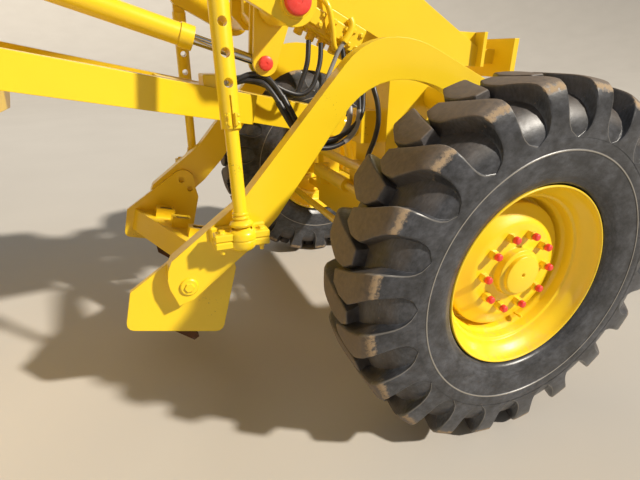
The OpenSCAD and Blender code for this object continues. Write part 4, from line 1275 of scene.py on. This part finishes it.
@dataclass
class Rim(Wheel):
    """Rim with its stepped barrel, dished disc, hub and cap. Radius and height out, in mm."""

    turns: int = 96
    crease: float = 28.0
    # flange from where it meets the tyre, over its lip, down to the barrel
    flange: Profile = (
        (345, 133), (346.5, 139), (346, 144), (343, 147), (339.5, 146.5), (337, 143), (335, 136),
        (330, 125), (321, 112), (310, 100), (302.5, 90), (299, 82), (295, 75), (287, 70))
    # the outer side of the same wall, from the tyre's bead to the middle of the barrel
    seat: Profile = (
        (341, 128), (335, 117), (325, 104), (314, 94), (307, 86), (304.8, 76), (304.6, 64),
        (292, 52))
    # in over the barrel's steps, down behind the disc, over disc and hub
    face: Profile = (
        (283.5, 62), (281.5, 42), (279, 34), (273, 28), (270, 20), (269, -20), (266, -28),
        (260, -31), (253, -30), (251, -26), (251, 14), (249, 21), (243, 26), (232, 30), (205, 46),
        (192, 54), (183, 58.5), (172, 60), (98, 60), (94, 62), (92, 66), (92, 86), (90, 90),
        (86, 92), (79, 93), (76, 95), (75, 98), (75, 105), (73.5, 108.5), (70, 110), (9, 110),
        (7.5, 108.5), (7, 103), (0, 102))
    # from the hub's bore out over the disc's back to the barrel
    rear: Profile = (
        (0, 85), (45.5, 85), (45.5, 25), (92, 25), (92, 37), (170, 38), (183, 36), (232, 12),
        (240, 4), (241, -36), (245, -41), (262, -42), (269, -45), (272, -52), (281, -62))
    # weld bead where the disc meets the barrel: its middle, and its half width and height
    bead: Profile = ((251, -26), (4, 5))

    def build(self) -> None:
        """Makes the rim, which stands for its CAD node."""
        shell = Shell()
        at = facing(self.centre, self.side.out)
        inboard = [(r, -h) for r, h in (*reversed(self.flange), *self.seat)]
        shell.lathe(self.flange + self.face, at, self.turns)
        shell.lathe([*self.rear, *inboard, (288, 0), *reversed(self.seat), self.flange[0]], at,
                    self.turns)
        (r, h), (wide, high) = self.bead
        shell.lathe([(r + wide * math.cos(math.radians(a)), h + high * math.sin(math.radians(a)))
                     for a in range(0, 361, 45)], at, self.turns)
        self.add(shell.piece(f"stepped_rim_{self.where}", ENAMEL, self.crease), "paint",
                 f"rim_{self.where}")


# Scarifier


@dataclass
class PinCaps:
    """Moulded caps pressed over the ends of the scarifier's shaft and crank pin, in mm."""

    # X and Z of the shaft and of the crank's pin, and how far out their ends are
    shaft: tuple[float, float] = (-658.0, 1582.0)
    shaft_end: float = 536.0
    pin: tuple[float, float] = (-700.0, 1380.0)
    pin_end: float = 265.0
    shaft_cap: Profile = ((0, 7), (10, 7), (12, 9), (37, 9), (44, 5), (47, -2), (47, -22),
                          (45.5, -24))
    pin_cap: Profile = ((0, 4), (5, 4), (6, 6), (22, 6), (27, 3), (29, -2), (29, -11),
                        (28.2, -12))

    def build(self) -> None:
        """Makes the two shaft caps and the pin's cap."""
        shell = Shell()
        for s in (-1, 1):
            spot = at_axle(self.shaft[0], s * self.shaft_end, self.shaft[1])
            shell.lathe(self.shaft_cap, facing(spot, Vector((0, s, 0))), 40)
        spot = at_axle(self.pin[0], -self.pin_end, self.pin[1])
        shell.lathe(self.pin_cap, facing(spot, Vector((0, -1, 0))))
        hand_over(shell.piece("pin_caps", CAP), "scarifier_shaft", "trim")


@dataclass
class LinkClamps:
    """Pinch lugs at the foot of a link's outer tube and the bolted cap over its ball.

    Places and turned shapes are in mm, blocks in metres. A link's own axes have +Z up its
    tube and +Y away from the machine, with the ball's middle at the origin.
    """

    side: Side
    ball: Point = (-919.0, 640.0, 802.0)
    top: Point = (-930.0, 523.0, 1675.0)
    foot: float = 382.0
    tube: float = 34.0
    lug_apart: float = 0.012
    lug_half: float = 0.005
    # foot and radius of each ring on the inner tube, and the dust boot over the ball's neck
    rings: tuple[tuple[float, float], ...] = ((70, 31), (84, 29))
    ring_bore: float = 23.0
    boot: Profile = ((24, 40), (40, 44), (44, 52), (38, 62), (30, 66), (24, 68))
    # the cap: its two halves with the seam between, its ears, the web and the welded foot
    ball_cap: Profile = (
        (36, 36), (42, 33), (47, 28), (50, 22), (50, 3), (48, 2), (48, -2), (50, -3), (50, -16),
        (46, -30), (37, -40.5), (20, -47.5), (0, -49.5))
    ear_out: float = 0.066
    bolt_out: float = 0.072
    ear_shift: float = 0.004
    ear_high: float = 0.0275
    ears: tuple[tuple[Point, Point], ...] = (
        ((-0.034, -0.025, -0.028), (0.032, 0.025, -0.0008)),
        ((-0.034, -0.025, 0.0008), (0.032, 0.025, 0.028)))
    welded: tuple[tuple[Point, Point, float], ...] = (
        ((-0.056, -0.052, -0.026), (0.056, 0.0, 0.024), 0.003),
        ((-0.108, -0.067, -0.031), (0.098, -0.048, 0.031), 0.006))
    bolt_end: Profile = ((0, 26), (7.5, 26), (8, 24), (8, 0), (0, 0))

    def own_axes(self) -> Matrix:
        """Finds the link's own axes.

        Returns:
            Their placement in the part's frame.
        """
        s = self.side.value
        low = at_axle(self.ball[0], s * self.ball[1], self.ball[2])
        high = at_axle(self.top[0], s * self.top[1], self.top[2])
        up = (high - low).normalized()
        out = self.side.out
        out = (out - up * out.dot(up)).normalized()
        turn = Matrix((out.cross(up), out, up)).transposed().to_4x4()
        return Matrix.Translation(low) @ turn

    def build(self) -> None:
        """Makes the lugs, the rings and boot on the inner tube, and the cap with its bolts."""
        where = self.side.where
        at = self.own_axes()
        shape = Shell()
        for x in (-1, 1):
            middle = x * self.lug_apart
            wall, foot = self.tube / 1000, self.foot / 1000
            shape.block(Vector((middle - self.lug_half, wall - 0.008, foot + 0.008)),
                        Vector((middle + self.lug_half, wall + 0.009, foot + 0.052)), at, 0.002)
        for z, r in self.rings:
            shape.lathe([(self.ring_bore, z), (r - 2, z), (r, z + 2), (r, z + 8), (r - 2, z + 10),
                         (self.ring_bore, z + 10)], at)
        shape.lathe(self.boot, at)
        hand_over(shape.piece(f"link_lugs_{where}", ENAMEL), f"scarifier_link_{where}", "paint")
        level = at @ Vector((0, 0, (self.foot + 31) / 1000))
        along, out, up = (at.col[i].to_3d() for i in range(3))
        places = [(level + along * (x * 0.017) + out * 0.036 + up * z, along * x)
                  for x in (-1, 1) for z in (-0.012, 0.012)]
        hand_over(scatter(f"link_pinch_bolts_{where}", hex_head(10, 7, 1.5), places, ENAMEL),
                  f"scarifier_link_{where}", "paint")
        self.cap()

    def cap(self) -> None:
        """Makes the two halves of the ball's cap and their bolts, on the scarifier."""
        s, where = self.side.value, self.side.where
        at = Matrix.Translation(at_axle(self.ball[0], s * self.ball[1], self.ball[2]))
        halves, heads, ends = Shell(), [], Shell()
        halves.lathe(self.ball_cap, at, 40)
        for x in (-1, 1):
            ear = at @ Matrix.Translation((x * self.ear_out - self.ear_shift,
                                           s * self.ear_shift, 0))
            for low, high in self.ears:
                halves.block(Vector(low), Vector(high), ear, 0.004)
        for low, high, bevel in self.welded:
            near, far = sorted((s * low[1], s * high[1]))
            halves.block(Vector((low[0], near, low[2])), Vector((high[0], far, high[2])), at, bevel)
        hand_over(halves.piece(f"ball_cap_{where}", ENAMEL), "scarifier", "paint")
        for x in (-1, 1):
            for z in (1, -1):
                spot = at @ Vector((x * self.bolt_out - self.ear_shift, s * self.ear_shift,
                                    z * self.ear_high))
                heads.append((spot, Vector((0, 0, z))))
            ends.lathe(self.bolt_end, facing(spot, Vector((0, 0, -1))), 16)
        hand_over(scatter(f"ball_cap_bolts_{where}", hex_head(22, 11), heads, ENAMEL),
                  "scarifier", "paint")
        hand_over(ends.piece(f"ball_cap_bolt_ends_{where}", ENAMEL), "scarifier", "paint")


@dataclass
class ScarifierFrame:
    """The CAD frame without its plain ball brackets, which cast ones replace, and its pins."""

    # outer face of the end plates, and the plain bracket's middle and half size, in metres
    face: float = 0.575
    bracket: tuple[float, float] = (-0.919, 0.802)
    reach: tuple[float, float] = (0.12, 0.05)
    # X, Y and Z of an arm's pin, in mm
    pin: Point = (-1119.0, 575.0, 606.0)

    def build(self) -> None:
        """Makes the frame, which stands for its CAD node, and the arm pins' heads."""
        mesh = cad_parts["scarifier_frame"].data.copy()
        mesh.name = "scarifier_frame_cast"
        # the CAD mesh's stored shading no longer fits the cut copy
        for layer in [a.name for a in mesh.attributes if "normal" in a.name or "sharp" in a.name]:
            mesh.attributes.remove(mesh.attributes[layer])
        shape = bmesh.new()
        shape.from_mesh(mesh)
        bmesh.ops.remove_doubles(shape, verts=shape.verts, dist=1e-5)
        beyond = [v for v in shape.verts if abs(v.co.y) > self.face + 0.001
                  and abs(v.co.x - AXLE_X - self.bracket[0]) < self.reach[0]
                  and abs(v.co.z - self.bracket[1]) < self.reach[1]]
        bmesh.ops.delete(shape, geom=beyond, context="VERTS")
        shape.to_mesh(mesh)
        shape.free()
        mesh.shade_smooth()
        mesh.set_sharp_from_angle(angle=math.radians(TURNED_CREASE))
        mesh.materials.clear()
        mesh.materials.append(ENAMEL.material())
        hand_over(new_object(mesh.name, mesh), "scarifier", "paint", "scarifier_frame")
        ends = [(at_axle(self.pin[0], s * self.pin[1], self.pin[2]), Vector((0, s, 0)))
                for s in (-1, 1)]
        head = hex_head(34, 15, 6)
        head.lathe([(0, 9), (30, 9), (34, 6), (35, -1), (0, -1)])
        hand_over(scatter("arm_pin_heads", head, ends, ENAMEL), "scarifier", "paint")


# Hydraulics


@dataclass
class HoseRuns:
    """Hoses between the drawbar and the frame, in mm in the axle frame.

    They bend where the drawbar is hinged. The loops end in the valve block, and the two that
    go across stop 30 to 40 mm short of it.
    """

    outer: float = 11.0
    # where a hose starts and ends to bend
    still: Point = (-470.0, -250.0, 1200.0)
    moved: Point = (-800.0, -200.0, 1300.0)
    block_corner: Point = (-950.0, -236.0, 1277.0)
    block_size: Point = (0.075, 0.13, 0.062)
    # from the drawbar's block, down behind the arm and up again through its arch
    loops: tuple[tuple[Point, ...], ...] = (
        ((-862, -215, 1312), (-817, -218, 1316), (-758, -222, 1337), (-695, -236, 1327),
         (-650, -265, 1273), (-620, -290, 1211), (-588, -310, 1147), (-528, -330, 1085),
         (-439, -330, 1073), (-348, -320, 1105), (-280, -300, 1166), (-243, -240, 1250),
         (-222, -175, 1340), (-232, -150, 1430), (-250, -140, 1520)),
        ((-862, -195, 1306), (-817, -204, 1306), (-764, -220, 1316), (-708, -240, 1303),
         (-667, -268, 1250), (-636, -292, 1190), (-600, -312, 1126), (-540, -332, 1056),
         (-444, -338, 1040), (-352, -330, 1076), (-300, -310, 1142), (-268, -250, 1230),
         (-256, -178, 1330), (-272, -152, 1430), (-285, -140, 1530)),
        ((-862, -180, 1312), (-822, -186, 1318), (-770, -196, 1326), (-700, -208, 1318),
         (-650, -238, 1264), (-617, -264, 1202), (-585, -284, 1138), (-524, -302, 1076),
         (-450, -306, 1050), (-376, -302, 1082), (-330, -286, 1150), (-310, -230, 1250),
         (-303, -178, 1340), (-312, -152, 1440), (-322, -140, 1540)),
    )
    # from the drawbar's block across to just below the valve under the beam
    across: tuple[tuple[Point, ...], ...] = (
        ((-862, -160, 1308), (-804, -172, 1318), (-745, -180, 1332), (-677, -188, 1310),
         (-603, -194, 1270), (-534, -198, 1252), (-482, -198, 1276), (-452, -190, 1330),
         (-430, -176, 1390), (-420, -160, 1460)),
        ((-862, -140, 1304), (-794, -152, 1312), (-701, -162, 1298), (-610, -174, 1254),
         (-552, -182, 1252), (-518, -184, 1312), (-490, -176, 1385), (-478, -160, 1470)),
    )

    def build(self) -> None:
        """Makes the hoses, their sleeves, a grey stretch of painted sheen on two loops, and the block that
        they come out of.
        """
        loops = [smooth(line) for line in self.loops]
        for name, lines, radius, finish in (
            ("drawbar_hoses", loops, self.outer, HOSE),
            ("drawbar_cross_hoses", [smooth(line) for line in self.across], self.outer, HOSE),
            ("hose_sleeves", [line[26:38] for line in loops[:2]], 15.5, SLEEVE),
            # painted sheen: a grey tube a little wider than the hose, laid over one stretch of the second
            # and third loops
            ("hose_fittings_grey", [line[52:64] for line in loops[1:]], 12.6, GREY),
        ):
            piece = sweep(name, lines, radius, finish)
            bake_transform(piece, "chassis", "drawbar", start=tuple(at_axle(*self.still)),
                     end=tuple(at_axle(*self.moved)))
            log.info("%s: %d faces, bends from chassis to drawbar", name, len(piece.data.polygons))
        block = Shell()
        block.block(Vector(), Vector(self.block_size),
                    Matrix.Translation(at_axle(*self.block_corner)), 0.004)
        hand_over(block.piece("drawbar_hose_block", ENAMEL), "drawbar", "paint")
        nuts = Shell()
        for line in (*self.loops, *self.across):
            at = facing(at_axle(*line[0]), Vector(line[1]) - Vector(line[0]))
            nuts.lathe([(0, -14), (15, -14), (17, -11), (17, 4), (15, 6), (0, 6)], at, 6)
            nuts.lathe([(0, 5), (13.6, 5), (14.2, 8), (14.2, 40), (13, 43), (0, 43)], at, 20)
        hand_over(nuts.piece("drawbar_hose_nuts", CHROME), "drawbar", "chrome")


@dataclass
class ValveBlock:
    """Valve block under the beam with its pipes, and the hose down to the front axle's beam.

    Lines and turned shapes are in mm, blocks and places on the valve in metres.
    """

    place: Point = (-330.0, -100.0, 1577.0)
    slope: float = 25.3
    blocks: tuple[tuple[Point, Point, float], ...] = (
        ((-0.17, -0.062, -0.115), (0.15, 0.05, 0.006), 0.006),
        ((-0.15, -0.078, -0.098), (-0.06, -0.06, -0.03), 0.004),
        ((-0.03, -0.078, -0.098), (0.06, -0.06, -0.03), 0.004))
    ports: tuple[float, ...] = (-0.13, -0.07, -0.01, 0.05, 0.11)
    port: Profile = ((0, 34), (17, 34), (20, 31), (20, 8), (25, 5), (25, -3), (0, -3))
    # places of bolts along, out and up, all pairs of the first and the last
    bolts: tuple[tuple[Sequence[float], float, Sequence[float]], ...] = (
        ((-0.135, -0.075, -0.015, 0.045), -0.078, (-0.085, -0.043)),
        ((0.09, 0.13), -0.062, (-0.09, -0.03)))
    pipe: tuple[Point, ...] = (
        (-430, -170, 1640), (-400, -190, 1600), (-380, -192, 1520), (-372, -190, 1460),
        (-360, -178, 1440), (-352, -150, 1452))
    hose: tuple[Point, ...] = (
        (-300, -176, 1575), (-285, -186, 1530), (-318, -190, 1472), (-350, -192, 1430),
        (-372, -194, 1385), (-400, -200, 1330), (-420, -200, 1280))
    steering: tuple[Point, ...] = (
        (-190, -176, 1420), (-192, -200, 1340), (-196, -250, 1278), (-183, -272, 1209),
        (-180, -282, 1130), (-200, -290, 1051), (-228, -290, 979), (-236, -275, 881),
        (-200, -250, 780), (-120, -230, 700), (-20, -220, 650), (60, -215, 640))

    def build(self) -> None:
        """Makes the block with its ports and bolts, the pipe and the hoses."""
        at = (Matrix.Translation(at_axle(*self.place))
              @ Matrix.Rotation(math.radians(self.slope), 4, "Y"))
        body = Shell()
        for low, high, bevel in self.blocks:
            body.block(Vector(low), Vector(high), at, bevel)
        for x in self.ports:
            below = Matrix.Translation((x, -0.005, self.blocks[0][0][2]))
            body.lathe(self.port, at @ below @ Matrix.Rotation(math.pi, 4, "X"), 24)
        hand_over(body.piece("valve_block", ENAMEL), "chassis", "paint")
        out = at.to_3x3() @ Vector((0, -1, 0))
        heads = [(at @ Vector((x, y, z)), out) for xs, y, zs in self.bolts
                 for x in xs for z in zs]
        hose = smooth(self.hose)
        for piece, slot in (
            (scatter("valve_bolts", hex_head(17, 11), heads, ENAMEL), "paint"),
            (sweep("valve_pipes", [smooth(self.pipe)], 12.5, ENAMEL), "paint"),
            (sweep("valve_hose_end", [hose[2:14]], 16, ENAMEL), "paint"),
            (sweep("valve_hose", [hose[12:]], 9.5, GREY), "trim"),
            (sweep("steering_hose", [smooth(self.steering)], 12, HOSE), "trim"),
        ):
            hand_over(piece, "chassis", slot)


# Cab and hood


@dataclass
class CabTrim:
    """Window seals, wiper, mirrors, lamps, rails and louvres of the cab and hood, in mm."""

    # faces of the cab's front, rear and sides; sill and head of its panes
    front: float = -3580.0
    rear: float = -4930.0
    half: float = 740.0
    low: float = 1980.0
    high: float = 3020.0
    proud: float = 2.0
    seal: float = 9.0
    # half width of the front and rear pane, ends of the side pane, corners of the door's pane
    front_pane: float = 470.0
    front_drop: float = 280.0
    rear_pane: float = 600.0
    side_pane: tuple[float, float] = (-4840.0, -4700.0)
    door_pane: Profile = ((-4572, 1928), (-4058, 1928), (-4058, 2972), (-4572, 2972))
    mirror: Point = (-3550.0, 1000.0, 2630.0)
    # X, the Y of each, Z, direction along X and size of each row of lamps
    lamp_rows: tuple[tuple[float, Sequence[float], float, int, float], ...] = (
        (-3548, (-520, -240, 240, 520), 3135, 1, 0.62),
        (-4965, (-420, 420), 3135, -1, 0.62),
        (-3540, (-420, 420), 1560, 1, 1.15))
    bowl: Profile = ((0, -10), (30, -8), (60, 18), (72, 40), (74, 62), (70, 64), (66, 56),
                     (0, 54))
    lens: Profile = ((0, 66), (40, 63), (64, 57), (66, 55))
    tail_base: Profile = ((0, -2), (56, -2), (58, 2), (58, 22), (54, 24), (0, 24))
    tail_lens: Profile = ((0, 36), (30, 34), (48, 28), (52, 22))
    tail: Point = (-7330.0, 330.0, 2060.0)
    rail: float = 15.0
    # louvres: X of each bank, face of the hood, lowest slot, number and step of the rows
    banks: tuple[float, float] = (-6550.0, -5650.0)
    hood_half: float = 470.0
    louvre_foot: float = 1582.0
    louvre_rows: int = 10
    louvre_step: float = 50.0
    louvre_tilt: float = -38.0

    def build(self) -> None:
        """Makes the trim, group by group."""
        self.seals()
        self.doors()
        self.wiper()
        self.mirrors()
        self.lamps()
        self.rails()
        self.louvres()

    @staticmethod
    def ring(corners: Sequence[Point]) -> list[Vector]:
        """Lays a closed line round four corners.

        Args:
            corners: places in the front axle's frame, in mm.

        Returns:
            Points of the line, in metres in the part's frame, the first one again at the end.
        """
        points = [at_axle(*p) for p in corners]
        line = []
        for a, b in zip(points, points[1:] + points[:1]):
            line += [a.lerp(b, t) for t in (0.015, 0.5, 0.985)]
        return [*line, line[0]]

    def seals(self) -> None:
        """Makes the rubber seals round the cab's fixed panes."""
        front, rear = self.front + self.proud, self.rear - self.proud
        low, high = self.low, self.high
        rings = []
        for x, y, sill in ((front, self.front_pane, low - self.front_drop),
                           (rear, self.rear_pane, low)):
            rings.append(self.ring([(x, -y, sill), (x, y, sill), (x, y, high), (x, -y, high)]))
        a, b = self.side_pane
        for s in (-1, 1):
            y = s * (self.half + self.proud)
            rings.append(self.ring([(a, y, low), (b, y, low), (b, y, high), (a, y, high)]))
        hand_over(sweep("cab_window_seals", rings, self.seal, HOSE), "chassis", "trim")

    def doors(self) -> None:
        """Makes the seal of each door's pane and its grip."""
        for side in Side:
            y, out = side.value * (self.half + self.proud), side.value * 40
            body = f"door_{side.where}"
            ring = self.ring([(x, y, z) for x, z in self.door_pane])
            hand_over(sweep(f"door_window_seal_{side.where}", [ring], self.seal, HOSE), body,
                      "trim")
            grip = smooth([(-4120, y, 1890), (-4120, y + out, 1900), (-4120, y + out, 2010),
                           (-4120, y, 2020)])
            hand_over(sweep(f"door_grip_{side.where}", [grip], 9, BLACK), body, "trim")

    def wiper(self) -> None:
        """Makes the wiper's arm and its blade."""
        x = self.front
        arm = smooth([(x + 4, 0, 1740), (x + 26, 20, 1800), (x + 30, 120, 2300)])
        blade = smooth([(x + 12, 60, 2000), (x + 12, 120, 2300), (x + 12, 180, 2600)])
        hand_over(sweep("wiper", [arm, blade], 7, BLACK), "chassis", "black_paint")

    def mirrors(self) -> None:
        """Makes a mirror on its bent arm at each front corner."""
        arms, shells, faces = [], Shell(), Shell()
        x, y, z = self.mirror
        for s in (-1, 1):
            arms.append(smooth([(-3800, s * 660, 2900), (-3640, s * 800, 2905),
                                (-3560, s * 960, 2880), (x, s * y, 2780), (x, s * y, 2480)]))
            at = Matrix.Translation(at_axle(x, s * y, z))
            shells.block(Vector((-0.018, -0.09, -0.17)), Vector((0.022, 0.09, 0.17)), at, 0.012)
            faces.block(Vector((-0.021, -0.078, -0.158)), Vector((-0.017, 0.078, 0.158)), at,
                        0.001)
        hand_over(sweep("mirror_arms", arms, 10, BLACK), "chassis", "black_paint")
        hand_over(shells.piece("mirror_shells", BLACK), "chassis", "black_paint")
        hand_over(faces.piece("mirror_faces", CHROME), "chassis", "chrome")

    def lamps(self) -> None:
        """Makes the work lamps on the roof, the head lamps and the tail lamps."""
        bowls, lenses, tails = Shell(), Shell(), Shell()
        for x, ys, z, way, size in self.lamp_rows:
            for y in ys:
                at = facing(at_axle(x, y, z), Vector((way, 0, 0)))
                bowls.lathe([(r * size, h * size) for r, h in self.bowl], at)
                lenses.lathe([(r * size, h * size) for r, h in self.lens], at)
        for s in (-1, 1):
            at = facing(at_axle(self.tail[0], s * self.tail[1], self.tail[2]),
                        Vector((-1, 0, 0)))
            bowls.lathe(self.tail_base, at)
            tails.lathe(self.tail_lens, at)
        hand_over(bowls.piece("lamp_bowls", BLACK), "chassis", "black_paint")
        hand_over(lenses.piece("lamp_lenses", LENS), "chassis", "glass")
        hand_over(tails.piece("tail_lamp_lenses", CAP), "chassis", "trim")

    def rails(self) -> None:
        """Makes the grab rails by the doors and along the hood."""
        by_door = ((-3962, 735, 1590), (-3960, 780, 1600), (-3960, 800, 1660), (-3960, 800, 2300),
                   (-3960, 780, 2360), (-3962, 735, 2370))
        on_hood = ((-5140, 466, 2060), (-5150, 510, 2070), (-5210, 530, 2075), (-7100, 530, 2075),
                   (-7160, 510, 2070), (-7170, 466, 2060))
        lines = [smooth([(x, s * y, z) for x, y, z in line])
                 for s in (-1, 1) for line in (by_door, on_hood)]
        hand_over(sweep("grab_rails", lines, self.rail, BLACK), "chassis", "black_paint")

    def louvres(self) -> None:
        """Makes a slanted fin over each slot in the hood's sides."""
        fin, rows = Shell(), Shell()
        fin.block(Vector((-0.35, -0.004, -0.001)), Vector((0.35, 0.018, 0.003)),
                  Matrix.Rotation(math.radians(self.louvre_tilt), 4, "X"), 0.0008)
        for s, i, x in product((-1, 1), range(self.louvre_rows), self.banks):
            at = Matrix.Translation(at_axle(x, s * self.hood_half,
                                            self.louvre_foot + i * self.louvre_step))
            rows.take(fin, at @ Matrix.Rotation(math.pi, 4, "Z") if s < 0 else at)
        hand_over(rows.piece("hood_louvres", ENAMEL), "chassis", "paint")


# Stage


@dataclass
class Studio:
    """Floor, lights and camera. Sizes in metres, angles in degrees."""

    floor_flat: float = 24.0
    floor_rise: float = 26.0
    floor_steps: int = 12
    floor_turn: float = 7.0
    sky: float = 0.21
    # name, place, what it is aimed at, width of its disc (0 for a far lamp), power, tint
    lamps: tuple[tuple[str, Point, Point, float, float, str], ...] = (
        ("key", (8.0, -5.6, 6.4), (2.6, -0.4, 0.8), 0, 4.9, "#FFF6E8"),
        ("fill", (-5.0, -7.0, 4.0), (2.0, 0.0, 0.8), 5.0, 40, "#E4EEFF"),
        ("back", (2.0, 9.0, 8.0), (1.0, 0.0, 1.0), 5.0, 100, "#FFFFFF"))
    far_angle: float = 3.0
    # the camera fitted to the photograph: place, yaw, pitch down, roll; focal length and
    # width of the picture in pixels; width of the sensor in mm
    place: Point = (2.2019, -2.1029, 1.4153)
    angles: Point = (22.80, 22.88, 0.649)
    focal: float = 439.613
    picture: int = 640
    sensor: float = 36.0

    def build(self) -> None:
        """Lays the floor, hangs the lights and sets the camera."""
        self.floor()
        self.lights()
        self.camera()

    def floor(self) -> None:
        """Lays a pale floor that rises in a wide curve far off, so that no horizon shows."""
        bend = [(0.0, 0.0), (self.floor_flat, 0.0)]
        for step in range(1, self.floor_steps + 1):
            a = math.radians(step * self.floor_turn)
            bend.append((self.floor_flat + self.floor_rise * math.sin(a),
                         self.floor_rise * (1 - math.cos(a))))
        shell = Shell()
        shell.lathe([(r * 1000, z * 1000) for r, z in bend], turns=72)
        piece = shell.piece("floor", FLOOR, 60)
        if sum(face.normal.z for face in piece.data.polygons) < 0:
            piece.data.flip_normals()
        # the wall lets the key light in from outside
        piece.visible_shadow = False

    def lights(self) -> None:
        """Hangs a pale sky, a far key light for the whole machine, a fill and a back light."""
        world = bpy.data.worlds.new("studio_sky")
        bpy.context.scene.world = world
        world.use_nodes = True
        set_inputs(world.node_tree, world.node_tree.nodes["Background"],
                   {"Color": linear("#E4EAF2"), "Strength": self.sky})
        # under the default transform the enamel turns pale tan
        bpy.context.scene.view_settings.view_transform = "Standard"
        for name, spot, aim, size, power, tint in self.lamps:
            lamp = bpy.data.lights.new(name, "AREA" if size else "SUN")
            lamp.energy, lamp.color = power, linear(tint)[:3]
            if size:
                lamp.shape, lamp.size = "DISK", size
            else:
                lamp.angle = math.radians(self.far_angle)
            stand = new_object(name, lamp)
            stand.location = spot
            stand.rotation_euler = (Vector(aim) - Vector(spot)).to_track_quat("-Z", "Y").to_euler()

    def camera(self) -> None:
        """Sets the photograph's view: place, direction, roll and lens of the fitted camera."""
        yaw, pitch, roll = (math.radians(v) for v in self.angles)
        right = Vector((math.cos(yaw), -math.sin(yaw), 0.0))
        ahead = Vector((math.sin(yaw) * math.cos(pitch), math.cos(yaw) * math.cos(pitch),
                        -math.sin(pitch)))
        up = right.cross(ahead)
        right, up = (right * math.cos(roll) + up * math.sin(roll),
                     up * math.cos(roll) - right * math.sin(roll))
        data = bpy.data.cameras.new("camera")
        data.sensor_width, data.lens = self.sensor, self.focal * self.sensor / self.picture
        data.clip_start, data.clip_end = 0.05, 200.0
        camera = new_object("camera", data)
        turn = Matrix((right, up, -ahead)).transposed().to_4x4()
        camera.matrix_world = Matrix.Translation(self.place) @ turn
        bpy.context.scene.camera = camera


# Dressing the CAD nodes


class Dressing:
    """Gives every CAD node that stays its finish."""

    finishes: dict[str, Finish] = {
        "steer_rod": CHROME, "scarifier_rod": CHROME, "shift_rod": CHROME, "tip_rod": CHROME,
        "lift_rod_left": CHROME, "lift_rod_right": CHROME, "centre_rod": CHROME,
        "scarifier_teeth": STEEL, "engine_block": BLACK, "exhaust": BLACK, "steps": BLACK,
        "seat": VINYL, "console": VINYL, "cab_glass": GLASS, "door_glass_left": GLASS,
        "door_glass_right": GLASS,
    }

    def build(self) -> None:
        """Assigns the finishes; what isn't named is yellow enamel."""
        for name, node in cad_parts.items():
            coat = self.finishes.get(name, ENAMEL).material()
            slots = node.data.materials
            if not slots:
                slots.append(coat)
            for i in range(len(slots)):
                slots[i] = coat
        log.info("dressed %d nodes", len(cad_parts))


def main() -> None:
    """Builds the scene, piece by piece."""
    logging.basicConfig(level=logging.INFO, format="%(message)s")
    Studio().build()
    Dressing().build()
    for axle in Axle:
        for side in Side:
            Tyre(axle, side).build()
            Rim(axle, side).build()
            WheelTrim(axle, side).build()
    PinCaps().build()
    for side in Side:
        LinkClamps(side).build()
    ScarifierFrame().build()
    HoseRuns().build()
    ValveBlock().build()
    CabTrim().build()


if __name__ == "__main__":
    main()
